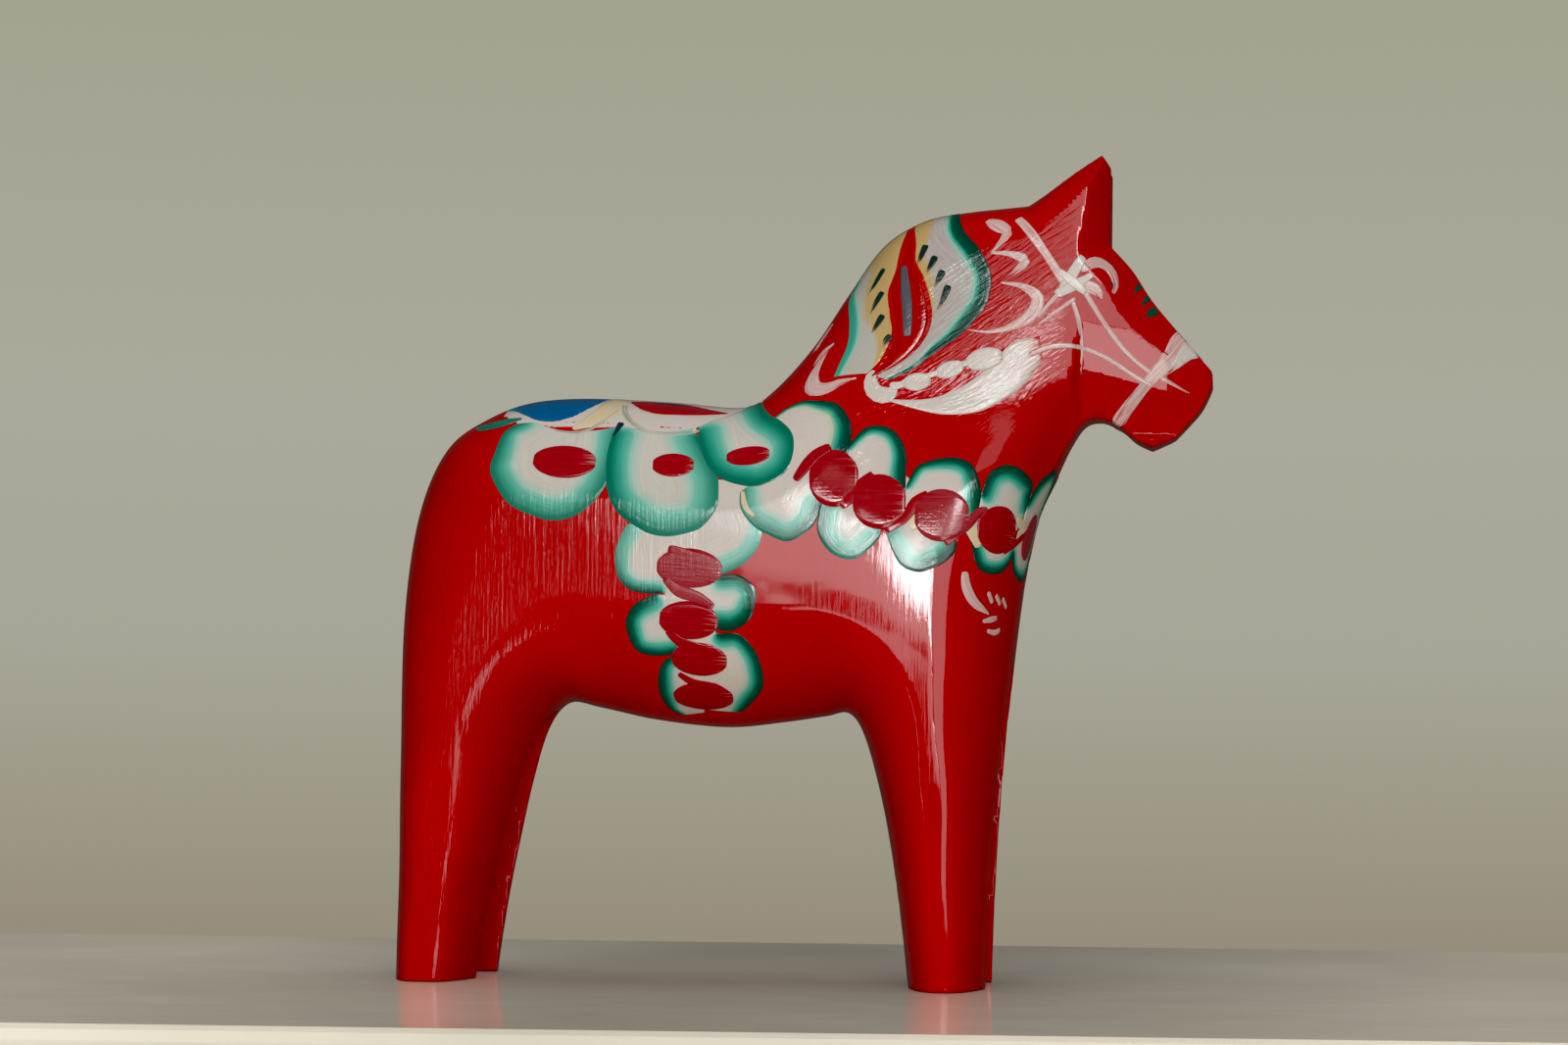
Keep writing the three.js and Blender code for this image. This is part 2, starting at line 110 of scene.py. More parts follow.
def side_outline():
    rows = []
    for stretch in STRETCHES:
        smooth = catmull_rom(stretch, SPLINE_STEPS) if len(stretch) > 2 else np.array(stretch)
        rows.append(smooth[:-1])
    return np.concatenate(rows)


def depth_inside(outline, x, z):
    """Distance to the outline, positive inside it."""
    nearest = np.full(x.shape, 1e9)
    inside = np.zeros(x.shape, bool)
    for a, b in zip(outline, np.roll(outline, -1, axis=0)):
        ex, ez = b - a
        t = np.clip(((x - a[0]) * ex + (z - a[1]) * ez) / (ex * ex + ez * ez), 0, 1)
        nearest = np.minimum(nearest, (x - a[0] - t * ex) ** 2 + (z - a[1] - t * ez) ** 2)
        if ez:
            crosses = (a[1] > z) != (b[1] > z)
            inside ^= crosses & (x < a[0] + (z - a[1]) / ez * ex)
    return np.where(inside, 1, -1) * np.sqrt(nearest)


def smooth_step(low, high, value):
    t = np.clip((value - low) / (high - low), 0, 1)
    return t * t * (3 - 2 * t)


def station_blend(x, z):
    """Half width and reach of the rounding, blended from the nearest stations."""
    weight = half = reach = 0
    for sx, sz, station_half, station_round in STATIONS:
        w = np.exp(-((x - sx) ** 2 + (z - sz) ** 2) / (2 * STATION_REACH ** 2)) + 1e-12
        weight = weight + w
        half = half + w * station_half
        reach = reach + w * station_round
    return half / weight, reach / weight


class Carving:
    """The field, with its side-view part tabulated once on a fine grid."""

    STEP = 0.25
    LOW = np.array([-72.0, -12.0])
    HIGH = np.array([72.0, 138.0])

    def __init__(self):
        xs = np.arange(self.LOW[0], self.HIGH[0] + self.STEP, self.STEP)
        zs = np.arange(self.LOW[1], self.HIGH[1] + self.STEP, self.STEP)
        x, z = np.meshgrid(xs, zs, indexing="ij")
        depth = depth_inside(side_outline(), x, z)
        half, reach = station_blend(x, z)
        self.table = np.stack([depth, half, reach], axis=-1)

    def side_view(self, x, z):
        size = np.array(self.table.shape[:2]) - 2
        u = np.clip((x - self.LOW[0]) / self.STEP, 0, size[0])
        v = np.clip((z - self.LOW[1]) / self.STEP, 0, size[1])
        i = u.astype(int)
        j = v.astype(int)
        fu = (u - i)[..., None]
        fv = (v - j)[..., None]
        t = self.table
        low = t[i, j] * (1 - fu) + t[i + 1, j] * fu
        high = t[i, j + 1] * (1 - fu) + t[i + 1, j + 1] * fu
        mixed = low * (1 - fv) + high * fv
        return mixed[..., 0], mixed[..., 1], mixed[..., 2]

    def field(self, p):
        """Negative in the wood: the sawn and rounded block, then each knife cut."""
        x, y, z = p[..., 0], np.abs(p[..., 1]), p[..., 2]
        depth, half, reach = self.side_view(x, z)
        inward = np.minimum(depth / reach, 1)
        rounded = (y / half) ** 2 + (1 - inward) ** 2 - 1
        bevel = 2 * np.maximum(np.maximum(y / half - 1, y / half - 0.55 - 0.45 * depth / reach),
                               -depth / reach)
        # the trunk is whittled round and the head is left with flat bevels
        crisp = 0.85 * smooth_step(36, 44, x)
        block = rounded * (1 - crisp) + bevel * crisp
        # half breadth left by the flat cut along the cheek, thinner at the muzzle and the jaw
        jaw = (9.4 + 0.225 * (z - 100.5) - 0.12 * (x - 43) + 1.5 * np.maximum(0, 43.5 - x)
               - 0.15 * np.maximum(0, x - 57) - 0.18 * np.maximum(0, 96 - 0.25 * (x - 43) - z)
               + 3 * np.maximum(0, 86 - z))
        # half breadth left by the cut that slants from the ear down to the brow
        ear = (53.4 - x + 1.7 * np.maximum(0, 115.5 - z)
               + np.minimum(3.6, 0.8 * np.maximum(0, z - 115.5)))
        slot_top = (BELLY_SLOT_TOP
                    + (FRONT_SLOT_TOP - BELLY_SLOT_TOP) * smooth_step(4, 20, x)
                    + (HIND_SLOT_TOP - BELLY_SLOT_TOP) * (1 - smooth_step(-46, -30, x)))
        leg_slot = 1 - (y / LEG_SLOT_HALF) ** 2 - (np.maximum(z, 0) / slot_top) ** SLOT_POWER
        over = z - EAR_NOTCH_TOP + EAR_NOTCH_FALL * (x - EAR_REAR_X)
        notch = np.where(over > 0, EAR_NOTCH_OPENING * np.sqrt(np.maximum(over, 0)), over)
        notch = np.where(x > 25, notch, -30)
        ear_notch = np.minimum((notch - y) / 4, 1)
        cuts = [2 * (y - jaw) / half, 1.4 * (y - ear) / half, leg_slot, ear_notch, -z / 4]
        return np.maximum.reduce([block] + cuts)

    def slope(self, p, h=0.06):
        steps = np.eye(3) * h
        return np.stack([(self.field(p + s) - self.field(p - s)) / (2 * h) for s in steps], -1)

    def settle(self, p, rounds=5):
        """Moves points onto the carved surface along the field's slope."""
        p = np.array(p, float)
        for _ in range(rounds):
            g = self.slope(p)
            step = self.field(p)[..., None] * g / np.maximum((g * g).sum(-1, keepdims=True), 1e-9)
            length = np.linalg.norm(step, axis=-1, keepdims=True)
            p -= step * np.minimum(1, 0.8 / np.maximum(length, 1e-9))
        return p

    def normal(self, p):
        g = self.slope(p, 0.3)
        return g / np.linalg.norm(g, axis=-1, keepdims=True)

    def between(self, inner, outer, rounds=22):
        """The surface point on the way from a point inside the wood to one outside it."""
        inner = np.array(inner, float)
        outer = np.array(outer, float)
        for _ in range(rounds):
            middle = (inner + outer) / 2
            wood = (self.field(middle) < 0)[..., None]
            inner = np.where(wood, middle, inner)
            outer = np.where(wood, outer, middle)
        return (inner + outer) / 2


wood = Carving()


# ---- the carved surface: one vertex in each small grid cell that the surface crosses ------
def surface_net(xs, ys, zs):
    """Vertices and outward quads of the surface, from the field's sign on a grid."""
    grid = np.stack(np.meshgrid(xs, ys, zs, indexing="ij"), axis=-1)
    value = wood.field(grid)
    inside = value < 0
    corners = [(i, j, k) for i in (0, 1) for j in (0, 1) for k in (0, 1)]
    nx, ny, nz = (n - 1 for n in value.shape)

    def shifted(array, c):
        return array[c[0]:c[0] + nx, c[1]:c[1] + ny, c[2]:c[2] + nz]

    count = sum(shifted(inside, c).astype(int) for c in corners)
    cells = np.argwhere((count > 0) & (count < 8))
    number = np.full((nx, ny, nz), -1)
    number[tuple(cells.T)] = np.arange(len(cells))
    total = np.zeros((len(cells), 3))
    crossings = np.zeros(len(cells))
    for c in corners:
        for axis in (0, 1, 2):
            if c[axis]:
                continue
            d = tuple(1 if a == axis else v for a, v in enumerate(c))
            from_index = tuple((cells + c).T)
            to_index = tuple((cells + d).T)
            a, b = value[from_index], value[to_index]
            hit = (a < 0) != (b < 0)
            t = np.where(hit, a / np.where(hit, a - b, 1), 0)[:, None]
            point = grid[from_index] * (1 - t) + grid[to_index] * t
            total += np.where(hit[:, None], point, 0)
            crossings += hit
    vertices = wood.settle(total / crossings[:, None], 3)
    low = grid[tuple(cells.T)]
    high = grid[tuple((cells + 1).T)]
    margin = 0.005 * (high - low)
    vertices = np.clip(vertices, low + margin, high - margin)
    faces = []
    for axis in (0, 1, 2):
        step = [0, 0, 0]
        step[axis] = 1
        a = inside[1:-1, 1:-1, 1:-1]
        b = inside[1 + step[0]:value.shape[0] - 1 + step[0],
                   1 + step[1]:value.shape[1] - 1 + step[1],
                   1 + step[2]:value.shape[2] - 1 + step[2]]
        second, third = (axis + 1) % 3, (axis + 2) % 3
        edges = np.argwhere(a != b) + 1
        quad = []
        for db, dc in ((-1, -1), (0, -1), (0, 0), (-1, 0)):
            cell = edges.copy()
            cell[:, second] += db
            cell[:, third] += dc
            quad.append(number[tuple(cell.T)])
        quad = np.stack(quad, 1)
        outward = inside[tuple(edges.T)]
        faces.append(np.where(outward[:, None], quad, quad[:, ::-1]))
    return vertices, np.concatenate(faces)


def new_object(name, vertices, faces, smooth=True):
    """A mesh object from vertices in millimetres."""
    mesh = bpy.data.meshes.new(name)
    mesh.from_pydata((np.asarray(vertices) * MM).tolist(), [], [tuple(f) for f in faces])
    mesh.validate()
    mesh.polygons.foreach_set("use_smooth", [smooth] * len(mesh.polygons))
    obj = bpy.data.objects.new(name, mesh)
    bpy.context.scene.collection.objects.link(obj)
    return obj


def carved_horse():
    """The whole block, with the field's own slope as its shading normals."""
    def lines(low, high):
        count = int((high - low) / SKIN_CELL) + 2
        return low + SKIN_CELL * np.arange(count)

    xs = lines(-NOSE_X - 3, NOSE_X + 3)
    half = SKIN_CELL * (np.arange(FLANK_CELLS) + 0.5)
    ys = np.concatenate([-half[::-1], half])
    zs = lines(-2.5 * SKIN_CELL, HEIGHT + 3)
    vertices, faces = surface_net(xs, ys, zs)
    vertices[vertices[:, 2] < SKIN_CELL / 2, 2] = 0
    horse = new_object("carved_horse", vertices, faces)
    horse.data.normals_split_custom_set_from_vertices(wood.normal(vertices).tolist())
    return horse


# ---- brush strokes: thin closed shells that lie on the carving ---------------------------
LAYER = 0.025             # each coat of paint lies this much higher than the one below it
CROWN = 0.025             # a stroke is this much thicker in its middle than at its rim
TUCK = 0.06               # its rim dips this far under the lacquer
CROWN_ROWS = 3            # rows of facets over which it rises from the rim
MIRROR_LIFT = 0.008       # left and right strokes overlap a little along the middle
STROKE_SHIFT = 31.0       # each stroke draws its hair marks from its own part of the noise
LEFT_SHIFT = 17.0         # and each left one differs from its right one
HAIR = 0.05               # the narrowest half width that a stroke tapers to


def on_wood(points):
    """Surface points: (x, z) on the right flank as seen from the side, (x, y, z) nearby."""
    placed = []
    for point in points:
        if len(point) == 3:
            placed.append(wood.settle(np.array([point], float), 12)[0])
            continue
        inner = np.array([[point[0], 0.0, point[1]]])
        if wood.field(inner)[0] < -0.02:
            placed.append(wood.between(inner, inner + [0, -30, 0])[0])
        else:
            placed.append(wood.settle(inner, 12)[0])
    return np.array(placed)


def spread(curve, count, ends=0.0):
    """A curve's points respaced evenly along it, or closer together towards its ends."""
    length = np.concatenate([[0], np.cumsum(np.linalg.norm(np.diff(curve, axis=0), axis=1))])
    t = np.linspace(0, 1, count)
    t = (1 - ends) * t + ends * (1 - np.cos(np.pi * t)) / 2
    at = t * length[-1]
    return np.stack([np.interp(at, length, curve[:, k]) for k in range(curve.shape[1])], 1), at


def spline_on_wood(points, count, ends=0.0):
    curve, at = spread(catmull_rom(on_wood(points), 10), count, ends)
    return wood.settle(curve), at


def along_list(values, count, at=None):
    """A short list of numbers as a smooth run of count numbers."""
    values = np.asarray(values if np.ndim(values) else [values, values], float)
    smooth = catmull_rom(values[:, None], 10)[:, 0]
    t = np.linspace(0, 1, count) if at is None else at / at[-1]
    return np.interp(t, np.linspace(0, 1, len(smooth)), smooth)


def distance_to(points, curve):
    nearest = np.full(points.shape[:-1], 1e9)
    for a, b in zip(curve[:-1], curve[1:]):
        d = b - a
        t = np.clip(((points - a) @ d) / max(d @ d, 1e-12), 0, 1)
        nearest = np.minimum(nearest, np.linalg.norm(points - a - t[..., None] * d, axis=-1))
    return nearest


class Stroke:
    """One brush stroke: a grid of surface points with the brush's own coordinates."""

    count = 0

    def __init__(self, grid, rim, along, across, layer, material, band, pale, dry):
        Stroke.count += 1
        self.grid = grid
        self.layer = layer
        self.material = material
        shape = grid.shape[:2]
        self.marks = {
            "rim": rim, "along": along + STROKE_SHIFT * Stroke.count, "across": across,
            "band": np.broadcast_to(band, shape), "pale": np.broadcast_to(pale, shape),
            "dry": np.broadcast_to(dry, shape)}

    def shell(self, side):
        """Vertices, faces and marks of the closed shell; side is -1 right, +1 left."""
        rows, cols = self.grid.shape[:2]
        normal = wood.normal(self.grid)
        inset = np.minimum.reduce(np.meshgrid(
            np.minimum(np.arange(rows), np.arange(rows)[::-1]),
            np.minimum(np.arange(cols), np.arange(cols)[::-1]), indexing="ij"))
        lift = LAYER * self.layer + CROWN * np.minimum(inset, CROWN_ROWS) / CROWN_ROWS
        lift = lift + (MIRROR_LIFT if side > 0 else 0)
        lift = np.where(inset == 0, -TUCK, lift)
        top = self.grid + normal * lift[..., None]
        under = self.grid - normal * 3 * TUCK
        vertices = np.concatenate([top.reshape(-1, 3), under.reshape(-1, 3)])
        index = np.arange(rows * cols).reshape(rows, cols)
        below = index + rows * cols
        quads = [np.stack([index[:-1, :-1], index[1:, :-1], index[1:, 1:], index[:-1, 1:]], -1),
                 np.stack([below[:-1, 1:], below[1:, 1:], below[1:, :-1], below[:-1, :-1]], -1)]
        faces = [q.reshape(-1, 4) for q in quads]
        loop = np.concatenate([index[:-1, 0], index[-1, :-1], index[:0:-1, -1], index[0, :0:-1]])
        after = np.roll(loop, -1)
        faces.append(np.stack([after, loop, loop + rows * cols, after + rows * cols], -1))
        faces = np.concatenate(faces)
        i, j = rows // 2, cols // 2
        middle, ahead, beside = vertices[[index[i, j], index[i + 1, j], index[i, j + 1]]]
        outward = np.dot(np.cross(ahead - middle, beside - middle), normal[i, j]) > 0
        if side > 0:
            vertices = vertices * [1, -1, 1]
        if outward == (side > 0):
            faces = faces[:, ::-1]
        marks = {key: np.tile(np.asarray(v, float).reshape(-1), 2) for key, v in self.marks.items()}
        return vertices, faces, marks


def ribbon(path, widths, material, layer=1, dry=0.0, tone=0.0, oval=False):
    """A stroke pulled along a path; its width follows the list and its ends are rounded."""
    guide = on_wood(path)
    length = np.linalg.norm(np.diff(catmull_rom(guide, 10), axis=0), axis=1).sum()
    rows = int(np.clip(length / 0.55, 10, 60))
    centre, at = spline_on_wood(path, rows, 0.7)
    half = along_list(widths, rows, at) / 2
    if oval:
        half = half.max() * np.sqrt(np.clip(1 - (2 * at / at[-1] - 1) ** 2, 0.0004, 1))
    else:
        for end in (at, at[-1] - at):
            share = np.clip(end / np.maximum(half, HAIR), 0, 1)
            half = half * np.sqrt(np.clip(1 - (1 - share) ** 2, 0.002, 1))
    half = np.maximum(half, HAIR)
    cols = 9 if half.max() > 0.7 else 7
    ahead = np.gradient(centre, axis=0)
    sideways = np.cross(wood.normal(centre), ahead)
    sideways /= np.linalg.norm(sideways, axis=1, keepdims=True)
    spacing = np.sin(np.linspace(-1, 1, cols) * np.pi / 2)
    across = half[:, None] * spacing
    grid = wood.settle(centre[:, None] + sideways[:, None] * across[..., None])
    rim = half[:, None] - np.abs(across)
    dryness = along_list(dry, rows, at)[:, None]
    pale = along_list(tone, rows, at)[:, None]
    along = np.broadcast_to(at[:, None], across.shape)
    return Stroke(grid, rim, along, across, layer, material, half[:, None], pale, dryness)


def fan(outer, inner, material, layer=0, band=2.6, pale=0.0, dry=0.0, rows=44, cols=16,
        hub_band=None):
    """A broad stroke between its outer edge and an inner one, shaded from the outer edge."""
    rim_curve, at = spline_on_wood(outer, rows)
    hub_curve, _ = spline_on_wood(inner, rows)
    v = (np.linspace(0, 1, cols) ** 1.25)[None, :, None]
    grid = wood.settle(rim_curve[:, None] * (1 - v) + hub_curve[:, None] * v, 9)
    rim = distance_to(grid, rim_curve)
    along = np.broadcast_to(at[:, None], rim.shape)
    widths = along_list(band, rows)[:, None]
    pales = along_list(pale, rows)[:, None]
    if hub_band is None:
        dryness = along_list(dry, rows)[:, None]
    else:
        reach = along_list(hub_band, rows)[:, None]
        dryness = np.clip(1.5 - distance_to(grid, hub_curve) / np.maximum(reach, HAIR), 0, 1)
    return Stroke(grid, rim, along, rim, layer, material, widths, pales, dryness)


def between_curves(first, second, material, layer=1, dry=0.0, tone=0.0, rows=36, cols=9):
    """A stroke that fills the space between two curves which meet at their ends."""
    one, at = spline_on_wood(first, rows, 0.6)
    two, _ = spline_on_wood(second, rows, 0.6)
    v = np.linspace(0, 1, cols)[None, :, None]
    grid = wood.settle(one[:, None] * (1 - v) + two[:, None] * v)
    width = np.linalg.norm(two - one, axis=1)[:, None]
    across = width * (v[..., 0] - 0.5)
    rim = width / 2 - np.abs(across)
    dryness = along_list(dry, rows)[:, None]
    pale = along_list(tone, rows)[:, None]
    along = np.broadcast_to(at[:, None], across.shape)
    return Stroke(grid, rim, along, across, layer, material, width / 2, pale, dryness)


def painted_piece(name, strokes, side, cad_leaf=None):
    """One named piece from a group of strokes, standing for the CAD leaf of that name."""
    vertices, faces, material_of, marks = [], [], [], {}
    materials = []
    start = 0
    for stroke in strokes:
        if stroke.material not in materials:
            materials.append(stroke.material)
        v, f, m = stroke.shell(side)
        vertices.append(v)
        faces.append(f + start)
        material_of.append(np.full(len(f), materials.index(stroke.material)))
        for key, value in m.items():
            if key == "along" and side > 0:
                value = value + LEFT_SHIFT
            marks.setdefault(key, []).append(value)
        start += len(v)
    piece = new_object(name, np.concatenate(vertices), np.concatenate(faces))
    for material in materials:
        piece.data.materials.append(material)
    piece.data.polygons.foreach_set("material_index", np.concatenate(material_of))
    for key, value in marks.items():
        layer = piece.data.attributes.new(key, "FLOAT", "POINT")
        layer.data.foreach_set("value", np.concatenate(value).astype(np.float32))
    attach(piece, "root")
    if cad_leaf:
        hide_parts(cad_leaf)
    return piece


# ---- node helpers ------------------------------------------------------------------------
def srgb(red, green, blue, gain=1.0):
    """A display colour (0-255) as the linear base colour that shows as it in this light."""
    def linear(c):
        c /= 255
        return c / 12.92 if c <= 0.04045 else ((c + 0.055) / 1.055) ** 2.4
    return tuple(min(1.0, gain * linear(c)) for c in (red, green, blue)) + (1.0,)


def new_material(name):
    material = bpy.data.materials.new(name)
    material.use_nodes = True
    tree = material.node_tree
    return material, tree, tree.nodes["Principled BSDF"]


def node(tree, kind, inputs=None, **settings):
    made = tree.nodes.new(kind)
    for key, value in settings.items():
        setattr(made, key, value)
    for key, value in (inputs or {}).items():
        if isinstance(value, bpy.types.NodeSocket):
            tree.links.new(value, made.inputs[key])
        else:
            made.inputs[key].default_value = value
    return made


def mark(tree, name):
    return node(tree, "ShaderNodeAttribute", attribute_name=name).outputs["Fac"]


def calc(tree, operation, a, b=0.0, c=0.0, clamp=False):
    return node(tree, "ShaderNodeMath", {0: a, 1: b, 2: c}, operation=operation,
                use_clamp=clamp).outputs[0]


def blend(tree, share, first, second):
    made = node(tree, "ShaderNodeMix", {0: share, 6: first, 7: second}, data_type="RGBA")
    return made.outputs[2]


def ramp(tree, value, stops):
    made = node(tree, "ShaderNodeValToRGB", {"Fac": value})
    elements = made.color_ramp.elements
    elements.remove(elements[1])
    elements[0].position, elements[0].color = stops[0]
    for position, colour in stops[1:]:
        elements.new(position).color = colour
    return made.outputs["Color"]


def noise(tree, vector, scale=1.0, detail=3.0, rough=0.5):
    made = node(tree, "ShaderNodeTexNoise",
                {"Vector": vector, "Scale": scale, "Detail": detail, "Roughness": rough})
    return made.outputs["Fac"]


def between(tree, value, low, high, at_low=0.0, at_high=1.0, run="LINEAR"):
    """at_low below low, at_high above high, and a straight or smooth run between them."""
    return node(tree, "ShaderNodeMapRange",
                {"Value": value, "From Min": low, "From Max": high, "To Min": at_low,
                 "To Max": at_high}, interpolation_type=run).outputs["Result"]


def object_place(tree):
    """Where on the object a point lies, in metres."""
    return node(tree, "ShaderNodeTexCoord").outputs["Object"]


def axes_of(tree, vector):
    return node(tree, "ShaderNodeSeparateXYZ", {"Vector": vector}).outputs


def stretched(tree, scale, rotation=(0, 0, 0)):
    """The place on the object, turned and then scaled by axis, for drawn-out noise."""
    turned = node(tree, "ShaderNodeMapping", {"Vector": object_place(tree), "Rotation": rotation})
    return node(tree, "ShaderNodeMapping",
                {"Vector": turned.outputs["Vector"], "Scale": scale}).outputs["Vector"]


HAIR_DEPTH = 0.00009      # metres, the depth of the brush's hair marks in the varnish
HAIR_SCALE = (2000, 2000, 110)
NECK_LEAN = math.radians(-55)


def varnish(tree, shader, streaks=None, depth=HAIR_DEPTH):
    """Clear gloss over everything, with the broad brush's hair marks running down in it."""
    shader.inputs["Roughness"].default_value = 0.5
    shader.inputs["Specular IOR Level"].default_value = 0.0
    shader.inputs["Coat Weight"].default_value = 1.0
    shader.inputs["Coat Roughness"].default_value = 0.045
    shader.inputs["Coat IOR"].default_value = 1.5
    place = object_place(tree)
    axes = axes_of(tree, place)
    trunk = noise(tree, stretched(tree, HAIR_SCALE), 1.0, 3.0, 0.55)
    neck = noise(tree, stretched(tree, HAIR_SCALE, (0, NECK_LEAN, 0)), 1.0, 3.0)
    # the hair marks are deepest on the rump and the neck and slight elsewhere
    on_neck = between(tree, axes["Z"], 0.082, 0.094)
    rump_depth = between(tree, axes["X"], -0.022, -0.010, 1.0, 0.07)
    head_depth = between(tree, axes["X"], 0.038, 0.044, 1.0, 0.12)
    trunk = calc(tree, "MULTIPLY", trunk, rump_depth)
    neck = calc(tree, "MULTIPLY", neck, head_depth)
    hairs = node(tree, "ShaderNodeMix", {0: on_neck, 2: trunk, 3: neck}).outputs[0]
    swell = calc(tree, "MULTIPLY", noise(tree, place, 120.0, 2.0),
                 between(tree, axes["X"], 0.038, 0.044, 1.0, 0.3))
    if streaks is not None:
        hairs = calc(tree, "MULTIPLY_ADD", streaks, 0.3, hairs)
    fine = node(tree, "ShaderNodeBump", {"Strength": 1.0, "Distance": depth, "Height": hairs})
    broad = node(tree, "ShaderNodeBump", {"Strength": 0.18, "Distance": 0.00016, "Height": swell,
                                          "Normal": fine.outputs["Normal"]})
    tree.links.new(broad.outputs["Normal"], shader.inputs["Normal"])
    tree.links.new(broad.outputs["Normal"], shader.inputs["Coat Normal"])


BLACK_LEVEL = 0.008       # the camera's contrast: anything darker than this is black
LIGHT_GAIN = 1.45         # how much brighter paint is than it looks in this light


def paint(red, green, blue):
    """The colour of the paint that shows as this display colour on the horse."""
    return srgb(red, green, blue, LIGHT_GAIN)


RED = paint(150, 1, 1)
WHITE = paint(170, 167, 157)
CHALK_WHITE = paint(164, 156, 147)
PINK_WHITE = paint(174, 158, 152)
GREEN = paint(3, 66, 50)
DARK_GREEN = paint(6, 40, 34)
TEAL = paint(46, 134, 114)
PALE_TEAL = paint(116, 164, 150)
CREAM = paint(184, 160, 108)
# painted highlight: a rose red that stands for the window's glare on the dark red paint
DEEP_RED = paint(126, 8, 16)
GLARE_ROSE = paint(134, 44, 52)
BLUE = paint(6, 70, 112)
SLATE = paint(78, 84, 88)
INK = paint(30, 40, 38)


def brush_streaks(tree, length=0.22, fineness=2.6):
    """Noise drawn out along the stroke, as the hairs leave it."""
    vector = node(tree, "ShaderNodeCombineXYZ",
                  {"X": calc(tree, "MULTIPLY", mark(tree, "along"), length),
                   "Y": calc(tree, "MULTIPLY", mark(tree, "across"), fineness)}).outputs[0]
    return noise(tree, vector, 1.0, 4.0, 0.6)


def half_way(first, second):
    """The colour that looks half way between two linear ones."""
    return tuple(((a ** 0.45 + b ** 0.45) / 2) ** (1 / 0.45) for a, b in zip(first, second))


def double_loaded(name, edge=GREEN, middle=TEAL, fade=PALE_TEAL, body=WHITE, tint=PINK_WHITE,
                  hub=None, core=0.22):
    """A brush with one colour on its corner and another beside it, worked round a petal."""
    material, tree, shader = new_material(name)
    streaks = brush_streaks(tree)
    soft = calc(tree, "SUBTRACT", streaks, 0.5)
    share = calc(tree, "DIVIDE", mark(tree, "rim"), mark(tree, "band"))
    fine = calc(tree, "SUBTRACT", brush_streaks(tree, 0.35, 7.0), 0.5)
    share = calc(tree, "MULTIPLY_ADD", fine, 0.3, share)
    inside = blend(tree, between(tree, streaks, 0.35, 0.68), body, tint)
    if hub is not None:
        near_hub = calc(tree, "MULTIPLY_ADD", soft, 0.8, mark(tree, "dry"))
        near_hub = between(tree, near_hub, 0.35, 0.65, run="SMOOTHSTEP")
        inside = blend(tree, near_hub, inside, hub)
    deep = DARK_GREEN if edge == GREEN else edge
    turning = [edge, half_way(edge, middle), middle, half_way(middle, fade), fade]
    dark = ramp(tree, share, [(0.0, deep)] + [
        (core + (0.95 - core) * i / 4, colour) for i, colour in enumerate(turning)])
    pale = ramp(tree, share, [(0.0, middle), (0.3, half_way(middle, fade)), (0.6, fade)])
    edge_colour = blend(tree, mark(tree, "pale"), dark, pale)
    colour = blend(tree, between(tree, share, 0.8, 1.2), edge_colour, inside)
    tree.links.new(colour, shader.inputs["Base Color"])
    varnish(tree, shader, streaks)
    return material


def plain_stroke(name, colour, ground=RED, second=None, edge=None, streaky=1.0,
                 depth=HAIR_DEPTH):
    """One colour, thin in places so that streaks of the ground show, dry where marked."""
    material, tree, shader = new_material(name)
    streaks = brush_streaks(tree, 0.16, 3.4)
    if second is not None:
        colour = blend(tree, between(tree, streaks, 0.38, 0.66), colour, second)
    if edge is not None:
        colour = blend(tree, between(tree, mark(tree, "rim"), 0.1, 0.6), edge, colour)
    worn = calc(tree, "MULTIPLY_ADD", calc(tree, "SUBTRACT", streaks, 0.5), 2.2 * streaky,
                mark(tree, "dry"))
    colour = blend(tree, between(tree, worn, 0.35, 0.75), colour, ground)
    tree.links.new(colour, shader.inputs["Base Color"])
    varnish(tree, shader, streaks, depth)
    return material


def red_lacquer():
    """Red lacquer, a little darker and lighter in soft clouds and fine hair marks."""
    material, tree, shader = new_material("red_lacquer")
    cloud = noise(tree, object_place(tree), 45.0, 4.0, 0.55)
    hairs = noise(tree, stretched(tree, (1300, 1300, 90)), 1.0, 4.0, 0.6)
    tone = calc(tree, "ADD", calc(tree, "MULTIPLY", cloud, 0.7),
                calc(tree, "MULTIPLY", hairs, 0.3))
    red = ramp(tree, tone, [(0.25, paint(138, 1, 1)), (0.55, RED),
                            (0.8, paint(158, 3, 2))])
    tree.links.new(red, shader.inputs["Base Color"])
    varnish(tree, shader)
    return material


# ---- camera: level with the shelf, a little to the front of the horse's flank -------------
CAMERA_AZIMUTH = math.radians(7.3)


def add_camera():
    data = bpy.data.cameras.new("camera")
    data.lens = 80
    data.sensor_width = 36
    camera = bpy.data.objects.new("camera", data)
    bpy.context.scene.collection.objects.link(camera)
    pitch = math.radians(3.56)
    roll = math.radians(0.75)
    distance, eye_height, aim_x = 552, 38, -3.5
    ahead = Vector((-math.sin(CAMERA_AZIMUTH), math.cos(CAMERA_AZIMUTH), 0))
    eye = Vector((aim_x, 0, 0)) - ahead * distance + Vector((0, 0, eye_height))
    look = ahead * math.cos(pitch) + Vector((0, 0, math.sin(pitch)))
    right = look.cross(Vector((0, 0, 1))).normalized()
    up = right.cross(look)
    tilted_right = right * math.cos(roll) + up * math.sin(roll)
    tilted_up = up * math.cos(roll) - right * math.sin(roll)
    axes = Matrix((tilted_right, tilted_up, -look)).transposed()
    camera.matrix_world = Matrix.Translation(eye * MM) @ axes.to_4x4()
    bpy.context.scene.camera = camera


